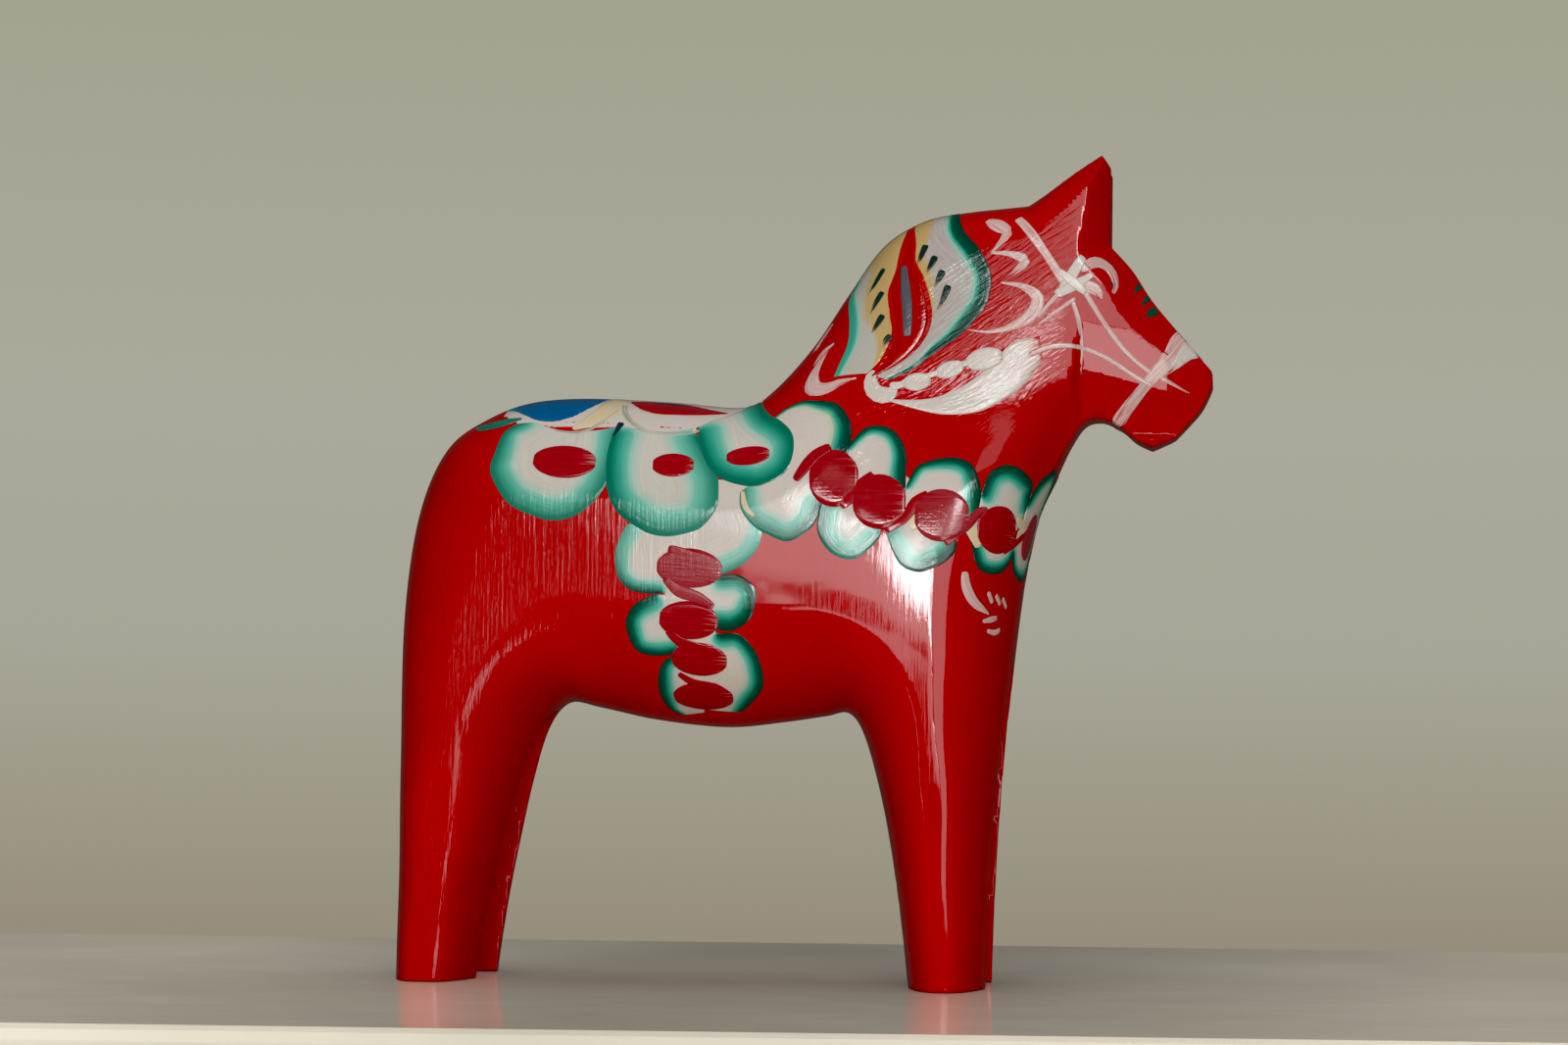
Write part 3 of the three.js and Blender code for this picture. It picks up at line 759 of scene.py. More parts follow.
# ---- light -------------------------------------------------------------------------------
def add_window(name, centre, size, radiance):
    """A rectangle of even light, its size in millimetres."""
    data = bpy.data.lights.new(name, "AREA")
    data.shape = "RECTANGLE"
    data.size, data.size_y = size[0] * MM, size[1] * MM
    data.energy = radiance * math.pi * data.size * data.size_y
    lamp = bpy.data.objects.new(name, data)
    bpy.context.scene.collection.objects.link(lamp)
    lamp.location = Vector(centre) * MM
    return lamp


def add_fill(name, centre, size, target, radiance):
    """Soft light with no mirror image of its own in the varnish."""
    lamp = add_window(name, centre, size, radiance)
    toward = Vector(target) - Vector(centre)
    lamp.rotation_euler = toward.to_track_quat("-Z", "Y").to_euler()
    lamp.visible_glossy = False


WINDOW_Y = -1200


def add_light():
    """The room's lights, and the plain wall that only the camera sees."""
    # windows and lit walls behind the camera, as they are mirrored in the varnish:
    # name, x range, z range, radiance, lean in degrees
    for name, (left, right), (low, high), radiance, lean in [
            ("window", (-180, 40), (142, 300), 3.7, 0),
            ("window_board", (-15, 60), (108, 142), 3.4, 0),
            ("low_wall", (-52, 60), (60, 108), 3.0, 0),
            ("curtain", (-316, -180), (112, 300), 0.5, 0),
            ("curtain_edge", (-317, -296), (-20, 112), 3.4, 0),
            ("window_jamb", (35, 105), (100, 322), 26.0, 20),
            ("side_room", (124, 700), (-60, 315), 2.4, 0),
            ("side_room_top", (142, 300), (335, 455), 2.2, 0),
            ("side_window", (275, 540), (250, 520), 14.0, 0),
            ("side_table", (180, 440), (-440, -120), 4.4, 0),
            ("high_window", (450, 1100), (640, 1000), 1.0, 0)]:
        centre = ((left + right) / 2, WINDOW_Y, (low + high) / 2)
        lamp = add_window(name, centre, (right - left, high - low), radiance)
        lamp.rotation_euler = (math.radians(90), math.radians(lean), 0)
    add_fill("room_front", (-200, -900, 500), (900, 900), (0, 0, 60), 1.7)
    add_fill("room_top", (0, 100, 1000), (900, 900), (0, 0, 60), 1.5)
    add_fill("room_low", (0, -900, 60), (1400, 120), (0, 0, 40), 0.8)
    add_fill("room_behind", (0, 1000, 500), (1200, 900), (0, 0, 60), 0.7)
    world = bpy.data.worlds.new("room")
    bpy.context.scene.world = world
    world.use_nodes = True
    tree = world.node_tree
    direction = node(tree, "ShaderNodeTexCoord").outputs["Generated"]
    axes = axes_of(tree, direction)
    toward_wall = between(tree, axes["Y"], 0.1, 0.8)
    colour = blend(tree, toward_wall, (0.012, 0.011, 0.01, 1), (0.04, 0.038, 0.034, 1))
    room = node(tree, "ShaderNodeBackground", {"Color": colour})
    backdrop = ramp(tree, between(tree, axes["Z"], -0.06, 0.22), [
        (0.0, srgb(150, 142, 124)), (0.3, srgb(168, 166, 152)), (0.55, srgb(172, 170, 156)),
        (1.0, srgb(163, 163, 146))])
    wall = node(tree, "ShaderNodeBackground", {"Color": backdrop})
    path = node(tree, "ShaderNodeLightPath")
    mix = node(tree, "ShaderNodeMixShader", {0: path.outputs["Is Camera Ray"],
                                             1: room.outputs[0], 2: wall.outputs[0]})
    tree.links.new(mix.outputs["Shader"], tree.nodes["World Output"].inputs["Surface"])


SHELF_GAIN = 1.9          # how much brighter the shelf's paint is than it looks in this light


def add_shelf():
    """The pale varnished shelf that the horse stands on; the wall is the plain backdrop."""
    half_length, front, rear, depth, edge = 900, 98, 106, 34, 2
    profile = [(-front, -depth), (-front, -edge), (-front + edge * 0.3, -edge * 0.3),
               (-front + edge, 0), (rear - edge, 0), (rear - edge * 0.3, -edge * 0.3),
               (rear, -edge), (rear, -depth)]
    c, s = math.cos(CAMERA_AZIMUTH), math.sin(CAMERA_AZIMUTH)
    vertices = [(x * c - y * s, x * s + y * c, z)
                for x in (-half_length, half_length) for y, z in profile]
    n = len(profile)
    faces = [(i, i + 1, n + i + 1, n + i) for i in range(n - 1)] + [(n - 1, 0, n, 2 * n - 1)]
    faces += [tuple(range(n))[::-1], tuple(range(n, 2 * n))]
    shelf = new_object("shelf", vertices, faces, smooth=False)
    material, tree, shader = new_material("shelf")
    place = object_place(tree)
    cloud = noise(tree, place, 14.0, 4.0)
    grain = ramp(tree, cloud, [(0.3, srgb(166, 160, 145, SHELF_GAIN)),
                               (0.7, srgb(178, 173, 158, SHELF_GAIN))])
    tree.links.new(grain, shader.inputs["Base Color"])
    shader.inputs["Roughness"].default_value = 0.11
    # painted sheen: the shelf glows a little, as the window's soft sheen on it, and glows less where the
    # horse stands in the way, as painted shade
    beside = calc(tree, "ABSOLUTE", axes_of(tree, place)["X"])
    painted_sheen = calc(tree, "MULTIPLY_ADD", between(tree, beside, 0.03, 0.11), 0.13, 0.04)
    tree.links.new(grain, shader.inputs["Emission Color"])
    tree.links.new(painted_sheen, shader.inputs["Emission Strength"])
    shader.inputs["Specular IOR Level"].default_value = 0.5
    ripple = node(tree, "ShaderNodeBump", {"Strength": 0.25, "Distance": 0.0004,
                                           "Height": noise(tree, place, 60.0, 3.0)})
    tree.links.new(ripple.outputs["Normal"], shader.inputs["Normal"])
    shelf.data.materials.append(material)
    shelf.visible_glossy = False


add_camera()
add_light()
add_shelf()
view = bpy.context.scene.view_settings
view.view_transform = "Standard"
view.use_curve_mapping = True
view.curve_mapping.black_level = (BLACK_LEVEL,) * 3
view.curve_mapping.update()

horse = carved_horse()
horse.data.materials.append(red_lacquer())
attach(horse, "root")
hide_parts("carved_body")

SCALLOP = double_loaded("scallop_paint", core=0.36)
SCALLOP_YELLOW = double_loaded("scallop_paint_yellow", fade=paint(146, 166, 128),
                               core=0.36)
PETAL = double_loaded("petal_paint", edge=paint(10, 92, 72), tint=CHALK_WHITE)
MANE_WHITE = paint(152, 150, 140)
LAVENDER = paint(146, 130, 130)
STRAW = paint(160, 134, 86)
MANE_GREEN = double_loaded("mane_green_paint", body=MANE_WHITE, tint=LAVENDER, hub=STRAW,
                           core=0.62)
MANE_TEAL = double_loaded("mane_teal_paint", edge=TEAL, body=MANE_WHITE, tint=MANE_WHITE,
                          hub=STRAW)
BLUE_LEAF = plain_stroke("blue_paint", BLUE, TEAL, paint(14, 84, 124), edge=TEAL)
CREAM_LEAF = plain_stroke("cream_paint", CREAM, WHITE, WHITE)
GROUND_WHITE = plain_stroke("saddle_ground_paint", WHITE, CREAM, PINK_WHITE)
RED_BLOB = plain_stroke("dark_red_paint", DEEP_RED, WHITE, paint(138, 22, 30),
                        streaky=0.6, depth=0.00003)
# dark red paint with the window's glare painted into its rose colour: painted highlight
GLARE_ROSE_BLOB = plain_stroke("glare_rose_paint", GLARE_ROSE, PINK_WHITE, DEEP_RED, streaky=0.6, depth=0.00005)
WHITE_LINE = plain_stroke("white_paint", WHITE, RED, PINK_WHITE)
THIN_WHITE = plain_stroke("thin_white_paint", PINK_WHITE, RED, paint(170, 110, 108))
# the flame stands for the red ground left between the mane's bands; its darker red is painted shade on that
# ground
FLAME_RED_IN_SHADE = paint(128, 6, 4)
FLAME = plain_stroke("flame_paint", FLAME_RED_IN_SHADE, RED, RED, streaky=0.3, depth=0.00003)
SLATE_LINE = plain_stroke("slate_paint", paint(58, 62, 70), FLAME_RED_IN_SHADE, SLATE)
INK_DASH = plain_stroke("ink_green_paint", INK, CREAM, DARK_GREEN)
GREEN_DASH = plain_stroke("green_paint", GREEN, RED, DARK_GREEN)
LEAF_GREEN = plain_stroke("leaf_green_paint", GREEN, PALE_TEAL, TEAL)
GREY_LINE = plain_stroke("grey_green_paint", paint(120, 124, 104), WHITE, WHITE)
NAVY = plain_stroke("navy_paint", paint(22, 40, 52), WHITE)


def oval(centre, half_length, half_height, material, layer, tilt=0.0, dry=(0.1, 0, 0.35)):
    """A short fat stroke pulled along x on the flank."""
    dx = half_length * math.cos(math.radians(tilt))
    dz = half_length * math.sin(math.radians(tilt))
    x, z = centre
    return ribbon([(x - dx, z - dz), (x, z), (x + dx, z + dz)], 2 * half_height, material,
                  layer, dry=dry, oval=True)


INSIDE_Z = 60.0           # a height inside the trunk, from which the back is looked for
ABOVE = 120.0
INSIDE_X = 20.0           # a place inside the chest, from which its front is looked for
AHEAD = 50.0


def up_to_back(x, y):
    flat = np.stack(np.broadcast_arrays(x, y, INSIDE_Z), -1)
    return wood.between(flat, flat * [1, 1, 0] + [0, 0, ABOVE])


def saddle_ground():
    """The pale ground of the saddle, from one side of the back over to the other."""
    xs = [-48, -44, -38, -31, -27, -21.5, -16, -11, -7.5, -5.5]
    halves = [8.5, 15, 17, 17, 16.5, 17, 16.5, 13, 8, 2]
    rows, cols = 46, 26
    x = np.linspace(xs[0], xs[-1], rows)
    half = np.interp(x, xs, halves)
    y = half[:, None] * np.linspace(-1, 1, cols)
    grid = up_to_back(x[:, None], y)
    rim = half[:, None] - np.abs(y)
    return Stroke(grid, rim, np.broadcast_to(x[:, None], y.shape), y, 0, GROUND_WHITE,
                  half[:, None], 0, 0.12)


painted_piece("saddle_cream_ground", [saddle_ground()], -1, "saddle_cream_ground")


def back_path(points):
    """Points on the back from their places in the view from above (x, y)."""
    return [tuple(p) for p in up_to_back(*np.array(points, float).T)]


def chest_path(points):
    """Points on the chest from their places in the front view (y, z)."""
    flat = np.array([(INSIDE_X, y, z) for y, z in points])
    return [tuple(p) for p in wood.between(flat, flat * [0, 1, 1] + [AHEAD, 0, 0])]


def scallop(outer, inner, layer, band, pale=0.0):
    """A lobe of the collar or the girth, dark green round its outer edge."""
    return fan(outer, inner, SCALLOP, layer, band, pale)


def liner(path, widths, dry=0.0, layer=2):
    """A stroke of the thin white brush."""
    return ribbon(path, widths, THIN_WHITE, layer, dry=dry)


# Each piece of the painting: the name of the CAD slot for its colour, which nothing reads, and its
# strokes from the lowest coat up. Places are (x, z) on the flank as seen from the side, or (x, y, z) in
# space.
STROKES = {
    "girth_rear_scallops": ("green_paint", [
        ribbon([(-16, 71), (-15.5, 62), (-15, 54), (-14, 47), (-14, 43)], (7, 8, 8, 7, 6),
            GROUND_WHITE, 0),
        scallop([(-25.5, 71), (-27, 68), (-27.5, 65.5), (-27, 62.5), (-25, 60.5), (-22.5, 60), (-20, 60)],
            [(-14, 71), (-14, 61)], 0, (2.8, 2.8, 2.2, 1), (0.9, 0.6, 0.1, 0)),
        scallop([(-21, 60), (-24, 58.5), (-25.5, 56), (-25, 53), (-23.5, 51), (-20.5, 50.5), (-17.5, 51)],
            [(-15.5, 60), (-14.5, 51)], 1, (1, 3, 3, 2, 0.8)),
        scallop([(-17.5, 51), (-20, 49.5), (-21, 47), (-21, 44.5), (-20, 42.5), (-18, 41.5)],
            [(-13.5, 51), (-14, 42)], 0, (1, 2.8, 2.8, 1))]),
    "girth_front_scallops": ("green_paint", [
        ribbon([(-13, 76.5), (-7, 75.5), (-1.5, 76.5)], (3, 5, 3), GROUND_WHITE, 0),
        scallop([(-6, 76), (-4.5, 72.5), (-4, 70), (-4.5, 67.5), (-6, 65.5), (-8, 64), (-10.5, 63)],
            [(-17, 73), (-16, 62)], 0, (1, 2.4, 2.8, 1.4), (1, 1, 0.8, 0.5)),
        scallop([(-10.5, 63), (-7.5, 63), (-5, 61), (-5, 58.5), (-6, 56), (-8.5, 54.5), (-10.5, 54.5)],
            [(-16.5, 62.5), (-15.5, 55)], 1, (0.8, 2.6, 3.6, 2)),
        scallop([(-10.5, 54), (-7.5, 54), (-5, 51.5), (-4, 48), (-4.5, 45.5), (-6.5, 43.5), (-8.5, 42)],
            [(-15, 54.5), (-15, 42.5)], 0, (0.8, 2.6, 3, 3.2, 2))]),
    "girth_red_rope": ("dark_red_paint", [
        # the rose strokes of the rope carry painted highlight, the glare on the dark red paint
        ribbon([(-19, 67), (-17, 66.5), (-14, 65.5)], (1.4, 1.6, 1.8), GLARE_ROSE_BLOB, 3),
        oval((-15.5, 64), 5.2, 3.2, GLARE_ROSE_BLOB, 3, -4),
        ribbon([(-19.5, 62.5), (-17, 60.5), (-14, 59.5), (-11.5, 58)], (1, 2, 1.8, 1), GLARE_ROSE_BLOB, 4),
        oval((-15.5, 56), 4.7, 3.1, RED_BLOB, 4, -4),
        ribbon([(-19, 54.5), (-16.5, 52.5), (-13, 51.5), (-11, 50.5)], (1, 1.8, 1.6, 1), RED_BLOB, 4),
        oval((-14, 50), 4.4, 3, RED_BLOB, 4, -3),
        ribbon([(-17.5, 48), (-15, 46.5), (-12, 46), (-10, 45)], (1, 1.6, 1.6, 1), RED_BLOB, 4),
        oval((-14, 44.3), 4.8, 3.5, RED_BLOB, 4, 0)]),
    "saddle_petal_rear": ("white_paint", [
        fan([(-43.5, 87), (-46, 85.5), (-47, 82), (-47.5, 79), (-46, 76), (-44, 73.5), (-41, 72),
            (-37.5, 71), (-34, 71.5), (-31, 73.5), (-29, 76), (-28, 79), (-27.5, 82), (-27.5, 85)],
            [(-41.5, 87), (-36.5, 86), (-31.5, 86), (-27.5, 86.5)], PETAL, 2,
            band=(2.2, 3.6, 4.2, 4, 3.6, 3), pale=(0.1, 0.15, 0.2, 0.25, 0.3), rows=60)]),
    "saddle_petal_middle": ("white_paint", [
        fan([(-28.5, 85), (-29, 82), (-29, 79), (-28.5, 75.5), (-27, 72.5), (-24.5, 70.5), (-22, 69),
            (-19, 68.5), (-16, 69), (-13.5, 70), (-11.5, 72.5), (-11, 75), (-11.5, 78.5), (-13.5, 82),
            (-15, 84.5)], [(-27.5, 86.5), (-21.5, 86), (-16.5, 86)], PETAL, 3,
            band=(2, 3.4, 4.4, 5, 4.6, 3.4, 2.2), pale=(0, 0, 0.1, 0.35, 0.2, 0), rows=60)]),
    "saddle_petal_front": ("white_paint", [
        fan([(-15.5, 85.5), (-14.5, 82.5), (-13, 79.5), (-10.5, 77.5), (-7, 76.5), (-4.5, 76.5),
            (-1.5, 78), (0, 80), (0.5, 82.5), (0, 85), (-2, 87), (-4.5, 88.5)]
            + back_path([(-6.5, -6), (-7.5, -2)]),
            back_path([(-15.5, -12.5), (-12.5, -9), (-9.5, -5), (-9, -2)]), PETAL, 4,
            band=(1.2, 3, 4.4, 4.4, 4.2, 4, 3, 1.6), rows=60)]),
    "collar_lower_scallops": ("green_paint", [
        ribbon([(-3, 81), (2, 79.5), (7, 78.5), (13.5, 76), (18, 74), (23, 73.5), (28, 73), (32, 71.5)],
            (6, 10, 11, 10, 8, 8, 7, 5), GROUND_WHITE, 0),
        scallop([(-8, 76), (-8, 73.5), (-7, 71.5), (-5.5, 70), (-3.5, 69), (-1, 68), (1, 68.5), (3, 70),
            (4, 71.5), (4.5, 73.5)], [(-3.5, 79.5), (4.5, 79)], 1, (2.6, 3.4, 3.2, 2),
            (0.5, 0.5, 0.3, 0.1)),
        scallop([(4.5, 74), (4, 70.5), (4.5, 68.5), (6, 66.5), (8, 65.5), (10, 65.5), (11.5, 66.5), (13, 68),
            (14, 69.5)], [(5.5, 78), (13.5, 76)], 2, (1.6, 3, 3, 1.4),
            (0.2, 0.3, 0.7, 0.3)),
        scallop([(14.5, 70), (15.5, 67), (17, 64.5), (19.5, 63.5), (21.5, 64), (23.5, 65), (25, 66.5),
            (25.5, 68)], [(15, 74.5), (24.5, 73)], 1, (1.2, 2.6, 3.4, 3),
            (0.6, 0.4, 0, 0)),
        scallop([(27.5, 68.5), (28, 65.5), (29, 64), (30.5, 63.5), (32, 64), (33, 65.5), (33.5, 67)],
            [(27.5, 72), (33.5, 71.5)], 2, (1.2, 2.4, 2.4, 1.2)),
        scallop(chest_path([(-10, 67), (-9, 64.5), (-6.5, 63), (-3, 63), (-0.5, 65), (0.3, 67.5)]),
            chest_path([(-9.5, 71), (0.3, 71)]), 1, (1.2, 2.4, 1.6))]),
    "collar_upper_scallops": ("green_paint", [
        fan([(-3.5, 88), (-1.5, 89.5), (1, 90.5), (3.5, 90.5), (6.5, 90), (8, 88.5), (9, 86.5), (9, 84),
            (8.5, 82)], [(-2.5, 79), (6.5, 77)], SCALLOP_YELLOW, 2, band=(0.8, 1.4, 2.6, 3.6, 3)),
        scallop([(8.5, 83), (9.5, 84.5), (11, 86), (13, 86.5), (15, 86), (16.5, 84.5), (17.5, 82),
            (17.5, 79.5), (17.5, 76)], [(8, 76), (16, 73.5)], 3, (0.8, 1.6, 2.6, 3.2, 2.4)),
        scallop([(17.5, 77), (19, 80), (21, 81), (23, 81.5), (25.5, 81.5), (27.5, 80.5), (28.5, 78.5),
            (29, 76), (28.5, 73)], [(17, 73), (26.5, 71)], 4, (0.7, 1.6, 2.6, 3, 1.8)),
        scallop([(29, 76), (30, 79), (32, 80.5), (34, 80.5), (35.5, 79.5), (36.5, 78), (36, 76), (35.5, 74)],
            [(28, 71.5), (34, 70.5)], 3, (0.9, 2.4, 3.4, 3, 1.4)),
        scallop(chest_path([(-9, 75), (-8, 78.5), (-5.5, 80.5), (-2.5, 80), (-0.5, 77.5), (0.3, 74.5)]),
            chest_path([(-8.5, 70), (0.3, 70)]), 4, (1, 2.6, 2.6, 1.2))]),
    "collar_yellow_touches": ("cream_paint", [
        ribbon([(-7.5, 76), (-7, 73.5), (-5.5, 72)], (0.6, 1, 0.6), CREAM_LEAF, 5),
        ribbon([(8, 77.5), (9.5, 76), (10.5, 74.5)], (1.2, 2, 1), CREAM_LEAF, 5),
        ribbon([(17.5, 73.5), (18.5, 71.5), (19, 70)], (1, 1.8, 1), CREAM_LEAF, 5),
        ribbon([(26.5, 71), (28, 69.5), (28.5, 67.5)], (1, 2, 1.2), CREAM_LEAF, 5),
        ribbon([(34, 72.5), (35, 71), (35, 69.5)], (1, 1.8, 1), CREAM_LEAF, 5)]),
    "collar_red_rope": ("dark_red_paint", [
        ribbon([(0.5, 77.5), (1.5, 79), (3.5, 81.5), (6, 83)], (1.2, 1.8, 1.8, 1.4), RED_BLOB, 6),
        oval((6.5, 78), 3.9, 4.7, RED_BLOB, 6),
        ribbon([(7.5, 73.5), (9.5, 75.5), (11.5, 78), (12.5, 79)], (1.4, 2, 2, 0.8), RED_BLOB, 6),
        oval((13.5, 74.5), 4.2, 4.5, RED_BLOB, 7),
        ribbon([(14.5, 70), (17.5, 72), (19, 74.5), (21, 76)], (1.2, 1.4, 1.8, 1), RED_BLOB, 6),
        # this blob and the stroke after it are rose for painted highlight, the glare on the dark red paint
        oval((23, 72.5), 4.3, 4.3, GLARE_ROSE_BLOB, 7),
        ribbon([(23.5, 68), (26.5, 70.5), (28.5, 73), (30, 73.5)], (1, 1.2, 1.6, 1), GLARE_ROSE_BLOB, 6),
        oval((31, 70.5), 2.8, 3.9, RED_BLOB, 7),
        ribbon([(32, 67), (34.5, 69.5), (35.5, 71)], (0.8, 1.2, 1), RED_BLOB, 6),
        # rose for painted highlight, the glare on the dark red paint
        ribbon(chest_path([(-6, 66.5), (-4.5, 70), (-3.5, 73.5)]), (5, 5.4, 5), GLARE_ROSE_BLOB, 7)]),
    "saddle_ovals": ("dark_red_paint", [
        oval((-35.5, 80.5), 5.1, 3, RED_BLOB, 5, -3, (0.2, 0, 0.4)),
        oval((-18.5, 80), 3.4, 2.2, RED_BLOB, 5, 0, (0.1, 0, 0.4)),
        oval((-7, 81.5), 3.6, 1.9, RED_BLOB, 6, 6, (0.1, 0, 0.4))]),
    "saddle_blue_leaf": ("blue_paint", [
        between_curves(back_path([(-47.5, -6), (-45, -9.5), (-42.5, -12.5), (-40, -14), (-37, -14),
            (-34.5, -12.5), (-32, -8), (-31, -4)]),
            back_path([(-47.5, -5.5), (-44, -3.5), (-38, -2.5), (-31, -3.5)]), BLUE_LEAF, 3,
            dry=(0.7, 0.35, 0.1, 0, 0, 0.1))]),
    "saddle_cream_leaf": ("cream_paint", [
        ribbon(back_path([(-35, -15), (-32.5, -13.5), (-30.5, -11), (-29.5, -7.5), (-29.5, -3)]),
            (0.8, 3.2, 4, 3.6, 1.6), CREAM_LEAF, 4, dry=(0.5, 0.1, 0, 0, 0.2))]),
    "saddle_red_leaf": ("dark_red_paint", [
        between_curves(back_path([(-27.5, -6), (-25.5, -9.5), (-22.5, -11), (-18, -10.5), (-15, -9.5),
            (-11.5, -8)]),
            back_path([(-27.5, -5.5), (-24, -4), (-19, -4), (-15, -6), (-11.5, -7.8)]), RED_BLOB, 3),
        ribbon(back_path([(-24, -5.5), (-21, -6), (-18, -6.5)]), (0.5, 1.2, 0.4), NAVY, 5)]),
    "saddle_thin_lines": ("green_paint", [
        ribbon(back_path([(-38, -15.2), (-34, -15.5), (-31, -14), (-28.5, -10)]), (0.3, 0.6, 0.5, 0.3),
            GREY_LINE, 4),
        ribbon(back_path([(-28, -8), (-27.5, -11), (-25.5, -13.5), (-22.5, -14.8), (-17.5, -14.5),
            (-14.5, -13.3)]), (1, 1.1, 0.8, 0.5, 0.5, 0.3), GREY_LINE, 4),
        ribbon([(-27.5, 87), (-28, 85.5), (-28.5, 84.5)], (1.2, 0.9, 0.3), NAVY, 6)]),
    "saddle_green_leaf": ("green_paint", [
        ribbon(back_path([(-52, -7.5), (-50, -10), (-47, -11.5), (-43.5, -12)]), (0.6, 2.4, 2.6, 0.8),
            LEAF_GREEN, 1)]),
    "mane_green_band": ("green_paint", [
        fan([(24.3, 0.4, 121.3), (24.5, -4, 120.5), (25.5, 117.5), (28, 114.5), (30, 110.5), (29.5, 106),
            (27.5, 103), (24.5, 100), (21.5, 98), (18.5, 95.5), (14, 93.2)],
            [(17.2, 0.4, 119.5), (17.2, -5, 118), (17.5, 115.5), (17.5, 112.5), (19, 109.5),
            (20, 106.5), (20.5, 104), (20, 101), (18, 98), (15, 95.7), (12, 94)], MANE_GREEN, 1,
            band=(2, 2.2, 2.8, 3.1, 3, 2.5, 1.4, 0.8, 0.5), rows=60, cols=18,
            hub_band=(4.4, 3.4, 2.4, 1.8, 0.8, 0.05, 0.05, 0.05))]),
    "mane_teal_band": ("green_paint", [
        fan([(7.5, 0.4, 110), (7.8, -4, 109.5), (7, 107.5), (7.5, 103), (7.5, 99.5), (6.5, 96.5),
            (5.5, 93.8)],
            [(17, 0.4, 119.4), (16.8, -6, 117), (15.5, 112), (14.2, 108), (14.5, 104.5), (15, 101),
            (13.5, 97), (11, 94.3)], MANE_TEAL, 1, band=(0.4, 1.6, 2.2, 2.2, 1.8, 1.2), rows=56,
            cols=16, hub_band=(12, 9, 5.4, 4.6, 4, 1.6, 0.05))]),
    "mane_red_flame": ("dark_red_paint", [
        between_curves([(17.2, 116.3), (16, 112.7), (14.5, 110), (14, 108), (14.5, 104.5), (15, 102),
            (14.5, 99), (13.5, 96.5), (11.5, 94)],
            [(17.3, 116.3), (17.7, 112.5), (19, 109.5), (20, 106.5), (20.5, 104), (20, 101), (18, 98),
            (15.2, 95.7), (11.6, 93.9)], FLAME, 3)]),
    "mane_flame_stripe": ("blue_paint", [
        ribbon([(16.2, 111.8), (16.6, 108), (17, 104), (17, 100.3)], (1, 1.6, 1.6, 1.2), SLATE_LINE, 5)]),
    "mane_dashes": ("green_paint", [
        ribbon(dash, (1.3, 1, 0.3), INK_DASH, 4, dry=(0, 0.1, 0.6)) for dash in (
            [(13, 111.7), (11.8, 109.5), (10.5, 107)], [(13, 107.8), (12, 106), (11, 104)],
            [(13.2, 104), (12.4, 102.5), (11.5, 101)], [(14.6, 100.6), (13.8, 99.8), (13.3, 98.7)],
            [(19.6, 115.2), (19, 113.5), (18.3, 111.8)], [(21.2, 113.3), (20.6, 112), (19.8, 110.5)],
            [(22.4, 111), (21.8, 109.7), (21, 108.2)], [(23.3, 108.7), (22.6, 106.8), (21.6, 104.6)])]),
    "mane_hook": ("white_paint", [
        liner([(4.8, 99.2), (3.4, 97), (2.3, 94.5), (2.4, 92.5), (4.4, 92.2), (7, 93.2), (9.5, 93.8)],
            (0.4, 1, 2, 3, 2.2, 1.2, 0.3), dry=(0.6, 0.1, 0, 0, 0.2, 0.5)),
        liner([(4.6, 103.5), (2.8, 100.7), (1.6, 98.5)], (0.5, 1.6, 0.5), dry=(0.4, 0.2, 0.7)),
        liner([(5.4, 99.8), (3.6, 98.4), (2.1, 96)], (0.5, 1.2, 0.4), dry=(0.4, 0.2, 0.7))]),
    "neck_white_beads": ("white_paint", [
        ribbon([(12.3, 95), (11.6, 93.6), (12.3, 91.6), (14.3, 91.2), (15.6, 92.6)],
            (1, 2.2, 2.8, 2.6, 0.8), WHITE_LINE, 2, tone=0),
        ribbon([(14.5, 92.5), (17, 93), (21, 94.5), (24, 95.5), (28, 97), (31.5, 98)],
            (1.4, 0.8, 0.9, 0.9, 1.2, 2.2), WHITE_LINE, 3, dry=(0, 0, 0, 0, 0.2)),
        oval((18.7, 93.3), 2.2, 1.45, WHITE_LINE, 4, 10, (0, 0, 0.1)),
        oval((23.7, 95.3), 2.3, 1.35, WHITE_LINE, 4, 20, (0, 0, 0.1)),
        oval((29, 97), 3, 1.8, WHITE_LINE, 4, 15, (0, 0, 0.3))]),
    "neck_white_feather": ("white_paint", [
        between_curves([(14, 90.3), (19, 88.8), (23, 88), (28, 88.3), (31.5, 90), (35, 92.5), (38, 97)],
            [(14.1, 90.5), (20, 90.7), (24.5, 92.3), (28, 94.8), (30.5, 97), (33, 100), (37.5, 101)],
            WHITE_LINE, 2, dry=(0.2, 0, 0, 0.05, 0.3, 0.7))]),
    "forelock_curls": ("white_paint", [
        liner([(28.8, 119.2), (31, 118), (32.2, 117), (31.4, 115.6), (29.6, 113.6)],
            (1.3, 2.6, 1.8, 0.8, 0.3), dry=(0, 0, 0.1, 0.4)),
        liner([(29.6, 113.7), (32.4, 113.6), (35, 112.6), (33.4, 110.7), (31, 109.2)],
            (0.4, 0.9, 1.7, 0.8, 0.2), dry=(0.1, 0, 0.1, 0.4, 0.8))]),
    "temple_curl": ("white_paint", [
        liner([(31.2, 109), (34.6, 108.5), (37, 106.7), (36.2, 104.2), (33.8, 102.4), (29.8, 101.3),
            (26.2, 101.6)], (0.3, 1, 2.1, 2, 1.1, 0.5, 0.2), dry=(0.4, 0.1, 0, 0, 0.2, 0.6))]),
    "bridle_brow_line": ("white_paint", [
        liner([(33.6, 119.4), (36, 116.7), (38.6, 113), (41.2, 109)], (1.5, 1.5, 1.3, 1.6),
            dry=(0, 0.1, 0, 0))]),
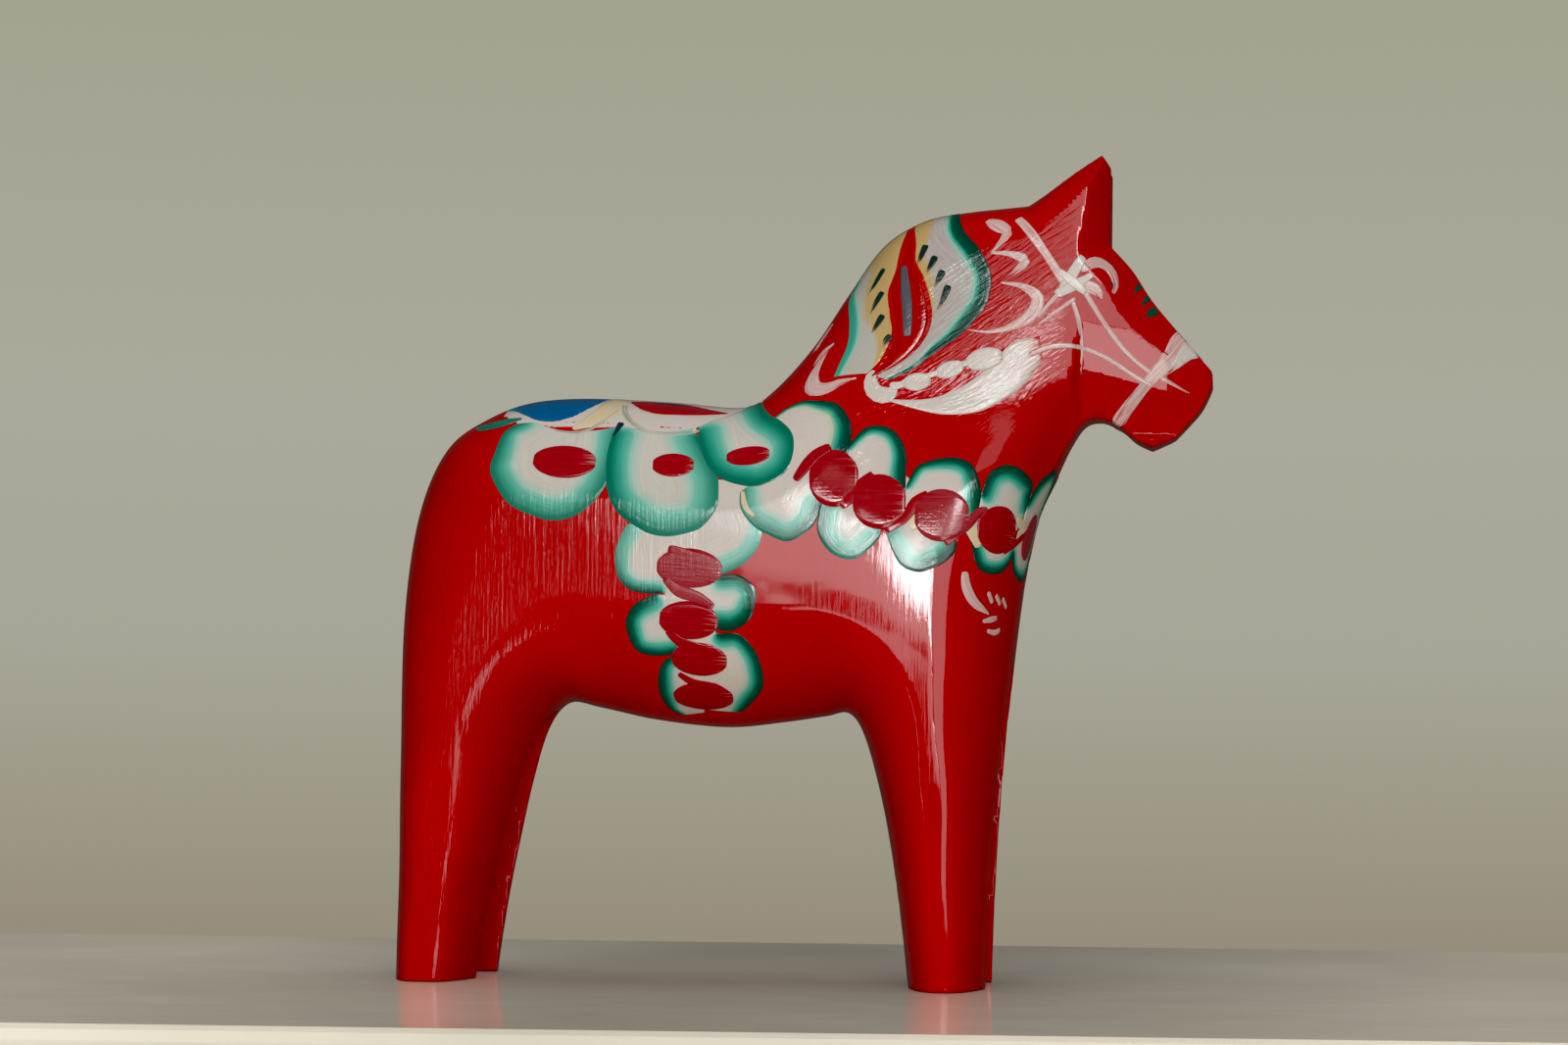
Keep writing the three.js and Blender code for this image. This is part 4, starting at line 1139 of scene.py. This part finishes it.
    "bridle_temple_star": ("white_paint", [
        ribbon([(44, 113.4), (42.4, 110.6), (40.6, 107.6)], (1.4, 1.8, 1.6), WHITE_LINE, 3),
        ribbon([(45.6, 110.6), (42.8, 108.8), (39.6, 107.2)], (0.8, 1.7, 1.4), WHITE_LINE, 4),
        ribbon([(40, 111.2), (42.2, 109.4), (44.6, 107.4)], (0.8, 1.6, 1), WHITE_LINE, 5),
        # painted highlight: these two dry white strokes stand for the window's glare at the temple
        liner([(43.5, 111), (46, 112.5), (48, 111.5), (49, 109), (48.5, 107.5)], (1.2, 2, 1.8, 1.4, 0.6),
            dry=(0.2, 0.3, 0.3, 0.4, 0.6)),
        liner([(43.5, 109), (46, 108), (47, 106.5)], (1.6, 2, 0.8), dry=(0.1, 0.3, 0.6)),
        liner([(41, 108.2), (38.8, 105.8), (37, 103.4)], (0.9, 0.7, 0.5), dry=(0, 0.3)),
        liner([(42.9, 106.8), (40, 104.6), (37, 102.4)], (0.8, 0.6, 0.4), dry=(0, 0.3))]),
    "bridle_nose_line": ("white_paint", [
        liner([(44.2, 107.8), (47.4, 102.7), (50.5, 98.7), (53.8, 95.9), (57, 94.2), (60.4, 92.4)],
            (0.9, 0.8, 0.8, 0.8, 0.7, 0.2), dry=(0, 0, 0.1, 0.5))]),
    "bridle_cheek_line": ("white_paint", [
        liner([(42.3, 106.4), (43.4, 103), (43.8, 99), (43.6, 95)], (0.7, 0.8, 0.6, 0.2),
            dry=(0, 0.1, 0.5)),
        liner([(35.7, 97.8), (39.1, 99.1), (43, 99.2), (47.4, 97.7), (52.2, 94.7), (54.8, 93.4)],
            (1.2, 0.9, 0.7, 0.8, 0.8, 0.7), dry=(0.3, 0, 0.1), layer=3)]),
    "noseband": ("white_paint", [
        liner([(60.5, -1.5, 100.2), (59.6, 100.2), (57.9, 97.8), (54.3, 94.3), (51.4, 90.8), (49, 87.6)],
            (4.8, 4.6, 3.2, 1.9, 2, 2.3), dry=(0, 0, 0.1, 0.3, 0.3)),
        ribbon([(61.8, -1, 98.6), (60.3, 99), (58.6, 97), (57, 95.4)], (2.6, 3, 2, 0.6), WHITE_LINE, 3,
            dry=(0, 0.1, 0.5))]),
    "forehead_dashes": ("green_paint", [
        ribbon([(52.7, 109.4), (51.8, 107.9)], (1.3, 0.4), GREEN_DASH, 1),
        ribbon([(54, 107.6), (53, 106)], (1.2, 0.4), GREEN_DASH, 1),
        ribbon([(55.4, 105.4), (54.4, 105), (53.8, 104.2)], (1.7, 1.4, 0.6), GREEN_DASH, 1)]),
    "chest_sprig": ("white_paint", [
        liner([(26.6, 64), (26.9, 61.5), (28.1, 59.2), (30.2, 57.5)], (1.2, 1.8, 1.5, 0.3)),
        liner([(30, 61), (30.6, 59.2)], (0.9, 0.9)),
        liner([(31.1, 60.6), (31.7, 59)], (0.9, 0.8)),
        liner([(32, 60.2), (32.5, 58.6)], (0.8, 0.8)),
        liner([(29.2, 56.4), (30.6, 56.8), (31.3, 57.1)], (0.6, 1, 0.8)),
        liner([(29.8, 55), (31, 54.8), (31.7, 55.4)], (0.6, 1, 0.8))]),
    "eye": ("dark_red_paint", [
        ribbon([(48.1, 109.1), (48.8, 109)], (0.8, 0.8), NAVY, 1)]),
}
# the pale bands of the mane are painted in one pull with their green and teal edges
ALSO_REPLACES = {"mane_green_band": ["mane_white_band"], "mane_teal_band": ["mane_cream_band"]}
CAD_NODES = set(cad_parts)
for name, (slot, strokes) in STROKES.items():
    for side_name, side in (("right", -1), ("left", 1)):
        piece_name = f"{name}_{side_name}"
        piece = painted_piece(piece_name, strokes, side,
                              piece_name if piece_name in CAD_NODES else None)
        for extra in ALSO_REPLACES.get(name, ()):
            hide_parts(f"{extra}_{side_name}")
